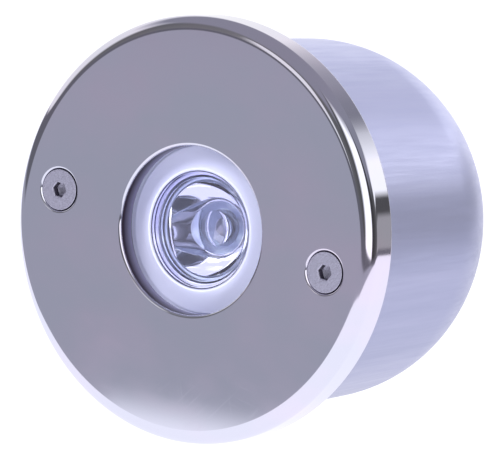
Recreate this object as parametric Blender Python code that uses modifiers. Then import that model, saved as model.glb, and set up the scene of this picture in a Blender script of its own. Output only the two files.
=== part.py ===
"""Recessed pool light: a polished faceplate on a sealed lamp capsule, in a drawn steel niche can.

Run with: blender --background --python part.py

Metres, +Z up. The light faces -Y and its axis is the Y axis. The origin is on the axis in the
plane of the wall, which is the plane of the faceplate's back. The two face screws lie on X.
In the outlines below a point is (radius from the axis, depth along +Y from the wall plane).
The radii grow outwards from the lens and the depths backwards from the faceplate, so that each
piece leaves room for what it holds.
"""

import math

import bmesh
import bpy

# Fits and cuts
SEAT = 0.0003            # gap between two pieces that touch
RUNNING = 0.0002         # gap round a screw's shank
CUT_OVERRUN = 0.001      # how far every cutter passes the face it cuts
MERGE_DISTANCE = 0.00001

# Steps round a full turn
LARGE_STEPS = 48
MEDIUM_STEPS = 36
SMALL_STEPS = 20
TINY_STEPS = 10
ARC_STEPS = 7
EDGE_STEPS = 3

# Shares of a screw's own head height, head radius or shank radius
PAN_CROWN_SHARE = 0.45
PAN_TOP_SHARE = 0.6
PAN_POINT_SHARE = 0.5
FACE_SCREW_CHAMFER_SHARE = 0.3

# LED
LED_BASE_SIZE = 0.0042
LED_BASE_THICKNESS = 0.0008
LED_DOME_RADIUS = 0.0016

# Collimator lens and holder
LENS_FLANGE_RADIUS = 0.0094
LENS_FLANGE_THICKNESS = 0.0012
LENS_FRONT_GAP = 0.0004
LENS_TOP_STEP = 0.0010        # how far the flared side starts inside the flange's rim
LENS_BASE_WALL = 0.0009
LENS_BODY_LENGTH = 0.0089
LENS_CAVITY_GAP = 0.00043     # between the cavity's mouth and the LED's corners
LENS_CAVITY_DRAFT = 0.0003
LENS_CAVITY_DEPTH = 0.0040
LENS_CAVITY_CROWN = 0.0008
LENS_BOARD_GAP = 0.0007
LENS_FLARE = 1.7              # exponent of the lens's flared side
HOLDER_WALL = 0.00065
HOLDER_LENS_GAP = 0.0008
HOLDER_BASE_THICKNESS = 0.0006
LENS_TOP_RADIUS = LENS_FLANGE_RADIUS - LENS_TOP_STEP
LENS_CAVITY_MOUTH = LED_BASE_SIZE / math.sqrt(2.0) + LENS_CAVITY_GAP
LENS_CAVITY_TOP = LENS_CAVITY_MOUTH - LENS_CAVITY_DRAFT
LENS_BASE_RADIUS = LENS_CAVITY_MOUTH + LENS_BASE_WALL
HOLDER_BASE_BORE = LENS_BASE_RADIUS + HOLDER_LENS_GAP

# Bezel ring and window, round the lens
LEDGE_WIDTH = 0.0008          # of the ledge that carries the window's gasket
LEDGE_THICKNESS = 0.0012
BEZEL_LIP_WIDTH = 0.00055
BEZEL_LIP_ROUND = 0.0004
COVE_WIDTH = 0.0043
COVE_STEP = 0.0003            # how far the slope's outer edge stands in front of the flange
COVE_RISE = 0.0016            # how far the lip stands in front of that edge
BEZEL_NECK_WALL = 0.0028
BEZEL_FLANGE_OVERLAP = 0.0034
BEZEL_FLANGE_THICKNESS = 0.0019
BEZEL_GASKET_SETBACK = 0.0006
BEZEL_GASKET_THICKNESS = 0.0006
WINDOW_SETBACK = 0.0002       # the glass lies this far behind the bezel's lip
WINDOW_THICKNESS = 0.0015
WINDOW_EDGE = 0.0002
WINDOW_GASKET_THICKNESS = 0.0006
LEDGE_BORE = LENS_FLANGE_RADIUS + SEAT
BEZEL_BORE = LEDGE_BORE + LEDGE_WIDTH
BEZEL_LIP_RADIUS = BEZEL_BORE + BEZEL_LIP_WIDTH
BEZEL_NECK_RADIUS = LEDGE_BORE + BEZEL_NECK_WALL
COVE_RADIUS = BEZEL_BORE + COVE_WIDTH
OPENING_RADIUS = COVE_RADIUS + SEAT
BEZEL_FLANGE_RADIUS = OPENING_RADIUS + BEZEL_FLANGE_OVERLAP
BEZEL_GASKET_INNER = OPENING_RADIUS + BEZEL_GASKET_SETBACK
POCKET_RADIUS = BEZEL_FLANGE_RADIUS + SEAT

# LED board, its screws and the heat slug
BOARD_SCREW_SHANK = 0.0009
BOARD_SCREW_HEAD = 0.0017
BOARD_SCREW_HEAD_HEIGHT = 0.0011
BOARD_SCREW_LENGTH = 0.0046
BOARD_SCREW_GAP = 0.0007      # between a board screw's head and the lens holder
LED_BOARD_THICKNESS = 0.0016
LED_BOARD_MARGIN = 0.0003     # of the board outside its screws' heads
PAD_SCREW_GAP = 0.0009        # between the thermal pad and the board screws
PAD_THICKNESS = 0.0005
SLUG_THICKNESS = 0.0040
BOARD_SCREW_PLACE = LENS_FLANGE_RADIUS + BOARD_SCREW_GAP + BOARD_SCREW_HEAD
LED_BOARD_RADIUS = BOARD_SCREW_PLACE + BOARD_SCREW_HEAD + LED_BOARD_MARGIN
PAD_RADIUS = BOARD_SCREW_PLACE - BOARD_SCREW_SHANK - PAD_SCREW_GAP

# LED leads
LEAD_RADIUS = 0.0005
LEAD_PAD_INSET = 0.0014       # of a lead's solder pad from the LED board's rim
LEAD_CLEARANCE = 0.0021       # from the LED board's rim to a lead's straight run
LEAD_RISE = 0.0016            # how far a lead stands up in front of the LED board
LEAD_HOLE = 0.0010
LEAD_HOLE_WALL = 0.0011
LEAD_POINTS = 9
LEAD_START = LED_BOARD_RADIUS - LEAD_PAD_INSET
LEAD_RUN = LED_BOARD_RADIUS + LEAD_CLEARANCE

# Lamp body, its seal and screws
BODY_WALL = 0.0020
BODY_FLANGE_THICKNESS = 0.0025
BODY_FLANGE_MARGIN = 0.0003   # of the flange outside its screws' heads
BEZEL_GRIP = 0.0020           # how far the body's lip reaches in behind the bezel
SEAL_SECTION = 0.0007         # radius of the O-ring's cord
SEAL_GROOVE = 0.0010          # half width of its groove
SEAL_GROOVE_DEPTH = 0.0014
SEAL_MARGIN = 0.0001          # between the groove and the plate's pocket
SEAL_SCREW_WALL = 0.00045     # between the groove and the screw holes
BODY_SCREW_SHANK = 0.00125
BODY_SCREW_HEAD = 0.0021
BODY_SCREW_HEAD_HEIGHT = 0.0016
BODY_SCREW_HEAD_GAP = 0.0007
BODY_SCREW_REACH = 0.0040     # how far these screws reach into the plate
BODY_SCREW_ANGLES = (90.0, 210.0, 330.0)
BODY_BORE = LEAD_RUN + LEAD_HOLE + LEAD_HOLE_WALL
BODY_RADIUS = BODY_BORE + BODY_WALL
BODY_LIP_RADIUS = BEZEL_FLANGE_RADIUS - BEZEL_GRIP
SEAL_PLACE = POCKET_RADIUS + SEAL_MARGIN + SEAL_GROOVE
BODY_SCREW_PLACE = max(
    SEAL_PLACE + SEAL_GROOVE + SEAL_SCREW_WALL + RUNNING + BODY_SCREW_SHANK,
    BODY_RADIUS + BODY_SCREW_HEAD_GAP + BODY_SCREW_HEAD,
)
BODY_FLANGE_RADIUS = BODY_SCREW_PLACE + BODY_SCREW_HEAD + BODY_FLANGE_MARGIN

# Cable gland of the capsule, round the cable
CABLE_RADIUS = 0.0035
CABLE_GAP = 0.0002
GLAND_SEAL_WALL = 0.0011
GLAND_WALL = 0.0011
GLAND_HEX_STEP = 0.0020
GLAND_HEX_THICKNESS = 0.0035
GLAND_FRONT_LENGTH = 0.0040
GLAND_NUT_STEP = 0.0018
GLAND_NUT_WALL_GAP = 0.0003
GLAND_NUT_REACH = 0.0032      # how far the nut passes the gland's end
GLAND_NUT_END = 0.0019
GLAND_NUT_ROUND = 0.0022
LOCKNUT_STEP = 0.0018
LOCKNUT_THICKNESS = 0.0028
GLAND_LOCK_MARGIN = 0.0004
SEAL_OVERHANG = 0.0004
GLAND_BORE = CABLE_RADIUS + CABLE_GAP
GLAND_SEAT_BORE = CABLE_RADIUS + GLAND_SEAL_WALL + SEAT
GLAND_RADIUS = GLAND_SEAT_BORE + GLAND_WALL
GLAND_HEX_RADIUS = GLAND_RADIUS + GLAND_HEX_STEP
GLAND_NUT_RADIUS = GLAND_RADIUS + GLAND_NUT_STEP
LOCKNUT_RADIUS = GLAND_RADIUS + LOCKNUT_STEP

# Driver, whose components stand round the gland's locknut
DRIVER_GAP = 0.0015           # between the board and the body
DRIVER_THICKNESS = 0.0014
POST_LENGTH = 0.0050
POST_RADIUS = 0.0017
POST_INSET = 0.0035
POST_ANGLES = (30.0, 150.0, 270.0)
POST_SCREW_SHANK = 0.0009
POST_SCREW_HEAD = 0.0016
POST_SCREW_HEAD_HEIGHT = 0.0010
POST_SCREW_REACH = 0.0030
COMPONENT_GAP = 0.0010        # between the locknut and a component
COIL_RADIUS = 0.0032
COIL_WAIST = 0.0024
COIL_FLANGE = 0.0007
COIL_HEIGHT = 0.0042
COIL_ANGLE = 80.0
CAPACITOR_RADIUS = 0.0024
CAPACITOR_HEIGHT = 0.0044
CAPACITOR_ROUND = 0.0004
CAPACITOR_ANGLE = 175.0
CHIP_WIDTH = 0.0040
CHIP_THICKNESS = 0.0012
CHIP_LENGTH = 0.0050
TERMINAL_WIDTH = 0.0070
TERMINAL_HEIGHT = 0.0042
TERMINAL_DEPTH = 0.0044
TERMINAL_POST_GAP = 0.0006
TERMINAL_HOLE = 0.0012
DRIVER_RADIUS = BODY_BORE - DRIVER_GAP
POST_PLACE = DRIVER_RADIUS - POST_INSET
COIL_DISTANCE = LOCKNUT_RADIUS + COMPONENT_GAP + COIL_RADIUS
CAPACITOR_DISTANCE = LOCKNUT_RADIUS + COMPONENT_GAP + CAPACITOR_RADIUS
CHIP_DISTANCE = LOCKNUT_RADIUS + COMPONENT_GAP + CHIP_WIDTH / 2.0
TERMINAL_PLACE = (
    POST_SCREW_HEAD + TERMINAL_POST_GAP + TERMINAL_WIDTH / 2.0,
    -(LOCKNUT_RADIUS + COMPONENT_GAP + TERMINAL_DEPTH / 2.0),
)
TALLEST_COMPONENT = max(COIL_HEIGHT, CAPACITOR_HEIGHT, TERMINAL_HEIGHT)

# Rear cap and its gasket
CAP_ROOM = 0.0007             # between the tallest component and the cap's plug
CAP_PLUG_LENGTH = 0.0027
CAP_FLANGE_THICKNESS = 0.0025
CAP_CHAMFER = 0.0004
CAP_GASKET_THICKNESS = 0.0006

# Face screws, M4 countersunk, and their clips
SCREW_SHANK = 0.0020
SCREW_LENGTH = 0.0158
SCREW_HEAD_RIM = 0.0001
SINK_RADIUS = 0.00405
HEAD_CLEARANCE = 0.00025
HEAD_SETBACK = 0.00005
SOCKET_ACROSS_FLATS = 0.0025
SOCKET_DEPTH = 0.0016
CLIP_WIDTH = 0.0011
CLIP_THICKNESS = 0.0008
CLIP_RADIUS = SCREW_SHANK + CLIP_WIDTH
SCREW_HOLE = SCREW_SHANK + RUNNING

# Tapped lugs in the can's mouth, outside the lamp body's flange
LUG_CLEARANCE = 0.0004        # between the lamp body's flange and the lugs
LUG_INNER_WALL = 0.00135
LUG_OUTER_WALL = 0.00055
LUG_WIDTH = 0.0090
LUG_START = 0.0017
LUG_LENGTH = 0.0090
LUG_INNER = BODY_FLANGE_RADIUS + LUG_CLEARANCE
SCREW_PLACE = LUG_INNER + LUG_INNER_WALL + SCREW_HOLE    # distance of each screw from the axis
LUG_OUTER_RADIUS = SCREW_PLACE + SCREW_HOLE + LUG_OUTER_WALL

# Conduit hub at the can's back
HUB_RADIUS = 0.0055
HUB_WALL = 0.0015
HUB_FLANGE_WIDTH = 0.0035
HUB_FLANGE_THICKNESS = 0.0025
HUB_INSIDE_LENGTH = 0.0050
HUB_OUTSIDE_LENGTH = 0.0085
HUB_CHAMFER = 0.0005
HUB_WASHER_THICKNESS = 0.0006
HUB_NUT_STEP = 0.0031
HUB_NUT_THICKNESS = 0.0030
HUB_BORE = HUB_RADIUS - HUB_WALL
HUB_FLANGE_RADIUS = HUB_RADIUS + HUB_FLANGE_WIDTH
HUB_NUT_RADIUS = HUB_RADIUS + HUB_NUT_STEP

# Niche can, round the lugs and behind the lamp capsule
CAN_WALL = 0.0012
CAN_LUG_ROOM = 0.0008         # for the lugs' weld and the can's draft
CAN_DRAFT = 0.0012            # how much narrower the can is where its rounded back begins
CAN_FLAT_MARGIN = 0.0017      # of the flat back outside the hub
CABLE_SPACE = 0.0062          # between the gland's nut and the conduit hub
CAN_MOUTH_RADIUS = LUG_OUTER_RADIUS + CAN_LUG_ROOM + CAN_WALL
CAN_BEND_RADIUS_AT = CAN_MOUTH_RADIUS - CAN_DRAFT
CAN_FLAT_RADIUS = HUB_RADIUS + CAN_FLAT_MARGIN
CAN_ROUNDING = CAN_BEND_RADIUS_AT - CAN_FLAT_RADIUS

# Faceplate
PLATE_OVERLAP = 0.0043        # how far the plate's rim covers the wall outside the can
PLATE_THICKNESS = 0.0070
PLATE_EDGE = 0.0024
PLATE_BACK_CHAMFER = 0.0003
PLATE_LAND_SETBACK = 0.0007   # from the can's mouth to the ring that lies on the wall
PLATE_LAND_HEIGHT = 0.0003    # how far that ring stands behind the rest of the back
OPENING_BEVEL = 0.0005
PLATE_RADIUS = CAN_MOUTH_RADIUS + PLATE_OVERLAP
PLATE_LAND_INNER = CAN_MOUTH_RADIUS + PLATE_LAND_SETBACK

# Materials: colour, roughness, metallic
FINISHES = {
    "polished_steel": ((0.62, 0.61, 0.66), 0.08, 1.0),
    "brushed_steel": ((0.56, 0.57, 0.64), 0.34, 1.0),
    "satin_steel": ((0.72, 0.72, 0.80), 0.38, 1.0),
    "screw_steel": ((0.55, 0.55, 0.58), 0.30, 1.0),
    "glass": ((0.90, 0.93, 0.95), 0.02, 0.0),
    "lens_clear": ((0.88, 0.92, 0.96), 0.03, 0.0),
    "holder_white": ((0.80, 0.80, 0.82), 0.45, 0.0),
    "seal_rubber": ((0.04, 0.04, 0.04), 0.80, 0.0),
    "silicone_clear": ((0.88, 0.90, 0.92), 0.10, 0.0),
    "ceramic": ((0.85, 0.85, 0.83), 0.50, 0.0),
    "board_white": ((0.85, 0.86, 0.86), 0.40, 0.0),
    "board_green": ((0.05, 0.26, 0.12), 0.45, 0.0),
    "pad_grey": ((0.45, 0.48, 0.55), 0.75, 0.0),
    "aluminium": ((0.72, 0.73, 0.75), 0.35, 1.0),
    "brass_plated": ((0.70, 0.66, 0.55), 0.28, 1.0),
    "component_black": ((0.03, 0.03, 0.03), 0.45, 0.0),
    "copper": ((0.72, 0.38, 0.22), 0.35, 1.0),
    "lead_red": ((0.60, 0.05, 0.04), 0.50, 0.0),
    "lead_black": ((0.03, 0.03, 0.03), 0.50, 0.0),
    "terminal_green": ((0.08, 0.35, 0.22), 0.45, 0.0),
}

# Depths from the wall plane, which follow from the sizes above
PLATE_FRONT = -PLATE_THICKNESS
PLATE_BACK = -PLATE_LAND_HEIGHT
BODY_FRONT = PLATE_BACK + SEAT
BEZEL_BACK = BODY_FRONT - SEAT
BEZEL_FLANGE_FRONT = BEZEL_BACK - BEZEL_FLANGE_THICKNESS
BEZEL_GASKET_BACK = BEZEL_FLANGE_FRONT - SEAT
BEZEL_GASKET_FRONT = BEZEL_GASKET_BACK - BEZEL_GASKET_THICKNESS
POCKET_FRONT = BEZEL_GASKET_FRONT - SEAT
COVE_FRONT = BEZEL_FLANGE_FRONT - COVE_STEP
BEZEL_LIP_FRONT = COVE_FRONT - COVE_RISE
WINDOW_FRONT = BEZEL_LIP_FRONT + WINDOW_SETBACK
WINDOW_BACK = WINDOW_FRONT + WINDOW_THICKNESS
WINDOW_GASKET_FRONT = WINDOW_BACK + SEAT
WINDOW_GASKET_BACK = WINDOW_GASKET_FRONT + WINDOW_GASKET_THICKNESS
LEDGE_FRONT = WINDOW_GASKET_BACK + SEAT
BEZEL_NECK_BACK = LEDGE_FRONT + LEDGE_THICKNESS
LENS_FRONT = WINDOW_BACK + LENS_FRONT_GAP
LENS_SHOULDER = LENS_FRONT + LENS_FLANGE_THICKNESS
LENS_BASE = LENS_SHOULDER + LENS_BODY_LENGTH
LENS_CAVITY_FLOOR = LENS_BASE - LENS_CAVITY_DEPTH
LED_BOARD_FRONT = LENS_BASE + LENS_BOARD_GAP
LED_BOARD_BACK = LED_BOARD_FRONT + LED_BOARD_THICKNESS
PAD_FRONT = LED_BOARD_BACK + SEAT
SLUG_FRONT = PAD_FRONT + PAD_THICKNESS + SEAT
SLUG_BACK = SLUG_FRONT + SLUG_THICKNESS
POST_FRONT = SLUG_BACK + SEAT
POST_BACK = POST_FRONT + POST_LENGTH
DRIVER_FRONT = POST_BACK + SEAT
DRIVER_BACK = DRIVER_FRONT + DRIVER_THICKNESS
COMPONENT_SEAT = DRIVER_BACK + SEAT
CAP_PLUG_FRONT = COMPONENT_SEAT + TALLEST_COMPONENT + CAP_ROOM
CAP_FLANGE_FRONT = CAP_PLUG_FRONT + CAP_PLUG_LENGTH
CAP_BACK = CAP_FLANGE_FRONT + CAP_FLANGE_THICKNESS
CAP_GASKET_BACK = CAP_FLANGE_FRONT - SEAT
CAP_GASKET_FRONT = CAP_GASKET_BACK - CAP_GASKET_THICKNESS
BODY_END = CAP_GASKET_FRONT - SEAT
LOCKNUT_BACK = CAP_PLUG_FRONT - SEAT
LOCKNUT_FRONT = LOCKNUT_BACK - LOCKNUT_THICKNESS
GLAND_FRONT = LOCKNUT_FRONT - GLAND_LOCK_MARGIN
GLAND_HEX_FRONT = CAP_BACK + SEAT
GLAND_HEX_BACK = GLAND_HEX_FRONT + GLAND_HEX_THICKNESS
GLAND_BACK = GLAND_HEX_BACK + GLAND_FRONT_LENGTH
GLAND_NUT_FRONT = GLAND_HEX_BACK + SEAT
GLAND_NUT_BACK = GLAND_BACK + GLAND_NUT_REACH + SEAT
CAN_MOUTH = PLATE_BACK + SEAT
CAN_BACK = GLAND_NUT_BACK + CABLE_SPACE + HUB_INSIDE_LENGTH + CAN_WALL
CAN_BEND = CAN_BACK - CAN_ROUNDING
HUB_WASHER_FRONT = CAN_BACK + SEAT
HUB_FLANGE_FRONT = HUB_WASHER_FRONT + HUB_WASHER_THICKNESS + SEAT
HUB_FLANGE_BACK = HUB_FLANGE_FRONT + HUB_FLANGE_THICKNESS


def clear_scene():
    """Remove every object, so that the file starts empty."""
    for thing in list(bpy.data.objects):
        bpy.data.objects.remove(thing, do_unlink=True)


def new_collection(name):
    """Make a collection in the scene."""
    group = bpy.data.collections.new(name)
    bpy.context.scene.collection.children.link(group)
    return group


def finish_material(finish):
    """Return the material of a finish, made the first time it is asked for."""
    if finish in bpy.data.materials:
        return bpy.data.materials[finish]
    colour, roughness, metallic = FINISHES[finish]
    material = bpy.data.materials.new(finish)
    material.use_nodes = True
    shader = material.node_tree.nodes["Principled BSDF"]
    shader.inputs["Base Color"].default_value = (*colour, 1.0)
    shader.inputs["Roughness"].default_value = roughness
    shader.inputs["Metallic"].default_value = metallic
    return material


def add_piece(name, mesh, finish, parent=None, place=(0.0, 0.0, 0.0)):
    """Put a mesh in the scene as a named piece whose local +Z is the lamp's +Y."""
    piece = bpy.data.objects.new(name, mesh)
    parts.objects.link(piece)
    piece.location = place
    piece.rotation_euler = (-math.pi / 2.0, 0.0, 0.0)
    piece.parent = parent
    mesh.materials.append(finish_material(finish))
    return piece


def make_cutter(piece):
    """Turn a piece into a cutter: hidden in renders, drawn as wire, kept apart."""
    parts.objects.unlink(piece)
    cutters.objects.link(piece)
    piece.hide_render = True
    piece.display_type = "WIRE"
    return piece


def outline_mesh(name, outline):
    """Make a mesh of edges along an outline that runs down its outer side."""
    area = 0.0
    for (r0, d0), (r1, d1) in zip(outline, outline[1:] + outline[:1]):
        area += r0 * d1 - r1 * d0
    points = outline if area < 0.0 else outline[::-1]
    open_at_axis = min(radius for radius, _ in points) == 0.0
    if open_at_axis:
        while points[0][0] != 0.0 or points[-1][0] != 0.0:
            points = points[1:] + points[:1]
    mesh = bpy.data.meshes.new(name)
    edges = [(i, i + 1) for i in range(len(points) - 1)]
    if not open_at_axis:
        edges.append((len(points) - 1, 0))
    mesh.from_pydata([(radius, 0.0, depth) for radius, depth in points], edges, [])
    return mesh


def turned(name, outline, steps, finish, parent=None, place=(0.0, 0.0)):
    """Turn an outline of (radius, depth) round an axis along Y at the place (x, z).

    The piece is set half a step round, so that no seam lies on X, where the screw holes are.
    """
    piece = add_piece(name, outline_mesh(name, outline), finish, parent, (place[0], 0.0, place[1]))
    piece.rotation_euler[1] = math.pi / steps
    screw = piece.modifiers.new("turned", "SCREW")
    screw.axis = "Z"
    screw.steps = steps
    screw.render_steps = steps
    screw.use_merge_vertices = True
    screw.merge_threshold = MERGE_DISTANCE
    screw.use_smooth_shade = True
    return piece


def arc(centre, radius, start, end, steps):
    """Points on an arc in an outline; angles in degrees from +radius towards +depth."""
    points = []
    for i in range(steps + 1):
        angle = math.radians(start + (end - start) * i / steps)
        points.append((centre[0] + radius * math.cos(angle), centre[1] + radius * math.sin(angle)))
    return points


def ring(inner, outer, front, back):
    """Outline of a plain flat ring."""
    return [(inner, front), (outer, front), (outer, back), (inner, back)]


def disc(outer, front, back):
    """Outline of a plain disc."""
    return [(0.0, front), (outer, front), (outer, back), (0.0, back)]


def hexagon(name, radius, front, back, finish, parent=None, place=(0.0, 0.0)):
    """Six-sided prism along Y, made as a cone primitive with equal ends."""
    mesh = bpy.data.meshes.new(name)
    shape = bmesh.new()
    bmesh.ops.create_cone(
        shape, cap_ends=True, segments=6, radius1=radius, radius2=radius, depth=back - front
    )
    bmesh.ops.translate(shape, verts=shape.verts, vec=(0.0, 0.0, (front + back) / 2.0))
    shape.to_mesh(mesh)
    shape.free()
    return add_piece(name, mesh, finish, parent, (place[0], 0.0, place[1]))


def box(name, size, centre, finish, parent=None, edge=0.0):
    """Box of a size (x, depth, z) about a centre (x, depth, z), with an optional edge bevel."""
    mesh = bpy.data.meshes.new(name)
    shape = bmesh.new()
    bmesh.ops.create_cube(shape, size=1.0)
    bmesh.ops.scale(shape, verts=shape.verts, vec=(size[0], size[2], size[1]))
    shape.to_mesh(mesh)
    shape.free()
    piece = add_piece(name, mesh, finish, parent, centre)
    if edge > 0.0:
        bevel = piece.modifiers.new("edges", "BEVEL")
        bevel.width = edge
        bevel.segments = 1
    return piece


def combine(piece, other, operation="DIFFERENCE"):
    """Cut a cutter from a piece, or join it or keep what both share."""
    boolean = piece.modifiers.new(operation.lower(), "BOOLEAN")
    boolean.operation = operation
    boolean.solver = "EXACT"
    boolean.object = make_cutter(other)


def drill(piece, radius, front, back, place, steps=SMALL_STEPS):
    """Drill a round hole along Y through a piece; front and back are where it opens."""
    bore = turned("drill_for_" + piece.name, disc(radius, front, back), steps, "screw_steel", None, place)
    combine(piece, bore)


def on_circle(radius, degrees):
    """Place (x, z) at a radius and an angle round the axis."""
    angle = math.radians(degrees)
    return radius * math.cos(angle), radius * math.sin(angle)


def pan_screw(name, shank, head, height, under_head, tip, finish, parent, place):
    """Small screw whose rounded head bears towards the tip; works in either direction."""
    way = 1.0 if tip > under_head else -1.0
    rim = under_head - way * (1.0 - PAN_CROWN_SHARE) * height
    outline = [
        (0.0, under_head - way * height),
        (PAN_TOP_SHARE * head, under_head - way * height),
        (head, rim),
        (head, under_head),
        (shank, under_head),
        (shank, tip - way * (1.0 - PAN_POINT_SHARE) * shank),
        (PAN_POINT_SHARE * shank, tip),
        (0.0, tip),
    ]
    return turned(name, outline, TINY_STEPS, finish, parent, place)


def make_niche_can():
    """Drawn can with a drafted side, a large rounding and a flat back with the hub's hole."""
    hole = HUB_RADIUS + SEAT
    outer = [(CAN_MOUTH_RADIUS, CAN_MOUTH)]
    outer += arc((CAN_FLAT_RADIUS, CAN_BEND), CAN_ROUNDING, 0.0, 90.0, ARC_STEPS)
    outer.append((hole, CAN_BACK))
    inner = [(hole, CAN_BACK - CAN_WALL)]
    inner += arc((CAN_FLAT_RADIUS, CAN_BEND), CAN_ROUNDING - CAN_WALL, 90.0, 0.0, ARC_STEPS)
    inner.append((CAN_MOUTH_RADIUS - CAN_WALL, CAN_MOUTH))
    turned("niche_can", outer + inner, LARGE_STEPS, "brushed_steel")


def make_lug(name, side):
    """Block welded inside the can's mouth, rounded to the can, with the face screw's hole."""
    length = LUG_OUTER_RADIUS - LUG_INNER
    middle = LUG_START + LUG_LENGTH / 2.0
    centre = (side * (LUG_INNER + (length + CUT_OVERRUN) / 2.0), middle, 0.0)
    lug = box(name, (length + CUT_OVERRUN, LUG_LENGTH, LUG_WIDTH), centre, "screw_steel")
    front = LUG_START - CUT_OVERRUN
    back = LUG_START + LUG_LENGTH + CUT_OVERRUN
    bound = turned(name + "_round", disc(LUG_OUTER_RADIUS, front, back), LARGE_STEPS, "screw_steel")
    combine(lug, bound, "INTERSECT")
    drill(lug, SCREW_HOLE, front, back, (side * SCREW_PLACE, 0.0))


def make_conduit_hub():
    """Threaded hub through the can's back, its rubber washer outside and its locknut inside."""
    start = CAN_BACK - CAN_WALL - HUB_INSIDE_LENGTH
    end = HUB_FLANGE_BACK + HUB_OUTSIDE_LENGTH
    outline = [
        (HUB_BORE, start),
        (HUB_RADIUS - HUB_CHAMFER, start),
        (HUB_RADIUS, start + HUB_CHAMFER),
        (HUB_RADIUS, HUB_FLANGE_FRONT),
        (HUB_FLANGE_RADIUS, HUB_FLANGE_FRONT),
        (HUB_FLANGE_RADIUS, HUB_FLANGE_BACK),
        (HUB_RADIUS, HUB_FLANGE_BACK),
        (HUB_RADIUS, end - HUB_CHAMFER),
        (HUB_RADIUS - HUB_CHAMFER, end),
        (HUB_BORE, end),
    ]
    turned("conduit_hub", outline, SMALL_STEPS, "brass_plated")
    washer_back = HUB_WASHER_FRONT + HUB_WASHER_THICKNESS
    washer = ring(HUB_RADIUS + SEAT, HUB_FLANGE_RADIUS, HUB_WASHER_FRONT, washer_back)
    turned("hub_washer", washer, SMALL_STEPS, "seal_rubber")
    nut_back = CAN_BACK - CAN_WALL - SEAT
    nut_front = nut_back - HUB_NUT_THICKNESS
    nut = hexagon("hub_locknut", HUB_NUT_RADIUS, nut_front, nut_back, "brass_plated")
    drill(nut, HUB_RADIUS + RUNNING, nut_front - CUT_OVERRUN, nut_back + CUT_OVERRUN, (0.0, 0.0))


def make_faceplate(parent):
    """Turned plate with a rounded front edge, a bevelled opening and a pocket behind for the bezel."""
    rounding_centre = (PLATE_RADIUS - PLATE_EDGE, PLATE_FRONT + PLATE_EDGE)
    outline = [(OPENING_RADIUS + OPENING_BEVEL, PLATE_FRONT)]
    outline += arc(rounding_centre, PLATE_EDGE, -90.0, 0.0, ARC_STEPS)
    outline += [
        (PLATE_RADIUS, -PLATE_BACK_CHAMFER),
        (PLATE_RADIUS - PLATE_BACK_CHAMFER, 0.0),
        (PLATE_LAND_INNER, 0.0),
        (PLATE_LAND_INNER, PLATE_BACK),
        (POCKET_RADIUS, PLATE_BACK),
        (POCKET_RADIUS, POCKET_FRONT),
        (OPENING_RADIUS, POCKET_FRONT),
        (OPENING_RADIUS, PLATE_FRONT + OPENING_BEVEL),
    ]
    plate = turned("faceplate", outline, LARGE_STEPS, "polished_steel", parent)
    sink_bottom = PLATE_FRONT + SINK_RADIUS - SCREW_HOLE
    sink = [
        (0.0, PLATE_FRONT - CUT_OVERRUN),
        (SINK_RADIUS + CUT_OVERRUN, PLATE_FRONT - CUT_OVERRUN),
        (SCREW_HOLE, sink_bottom),
        (SCREW_HOLE, PLATE_BACK + CUT_OVERRUN),
        (0.0, PLATE_BACK + CUT_OVERRUN),
    ]
    for side in (-1.0, 1.0):
        hole = turned("sink_for_faceplate", sink, SMALL_STEPS, "screw_steel", None, (side * SCREW_PLACE, 0.0))
        combine(plate, hole)
    hole_front = PLATE_BACK - BODY_SCREW_REACH - SEAT
    for angle in BODY_SCREW_ANGLES:
        place = on_circle(BODY_SCREW_PLACE, angle)
        drill(plate, BODY_SCREW_SHANK + RUNNING, hole_front, PLATE_BACK + CUT_OVERRUN, place, TINY_STEPS)


def make_face_screw(name, side, parent):
    """Captive countersunk screw with a hexagon socket, and its clip behind the plate."""
    top = PLATE_FRONT + HEAD_SETBACK
    head = SINK_RADIUS - HEAD_CLEARANCE - SCREW_HEAD_RIM - HEAD_SETBACK
    tip = PLATE_FRONT + SCREW_LENGTH
    cone_start = top + SCREW_HEAD_RIM
    outline = [
        (0.0, top),
        (head, top),
        (head, cone_start),
        (SCREW_SHANK, cone_start + head - SCREW_SHANK),
        (SCREW_SHANK, tip - FACE_SCREW_CHAMFER_SHARE * SCREW_SHANK),
        ((1.0 - FACE_SCREW_CHAMFER_SHARE) * SCREW_SHANK, tip),
        (0.0, tip),
    ]
    place = (side * SCREW_PLACE, 0.0)
    screw = turned(name, outline, SMALL_STEPS, "screw_steel", parent, place)
    corner = SOCKET_ACROSS_FLATS / 2.0 / math.cos(math.radians(30.0))
    socket = hexagon("socket_for_" + name, corner, top - CUT_OVERRUN, top + SOCKET_DEPTH,
                     "screw_steel", None, place)
    combine(screw, socket)
    clip_front = PLATE_BACK + SEAT
    clip = ring(SCREW_HOLE, CLIP_RADIUS, clip_front, clip_front + CLIP_THICKNESS)
    turned(name + "_clip", clip, SMALL_STEPS, "screw_steel", parent, place)


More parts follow.
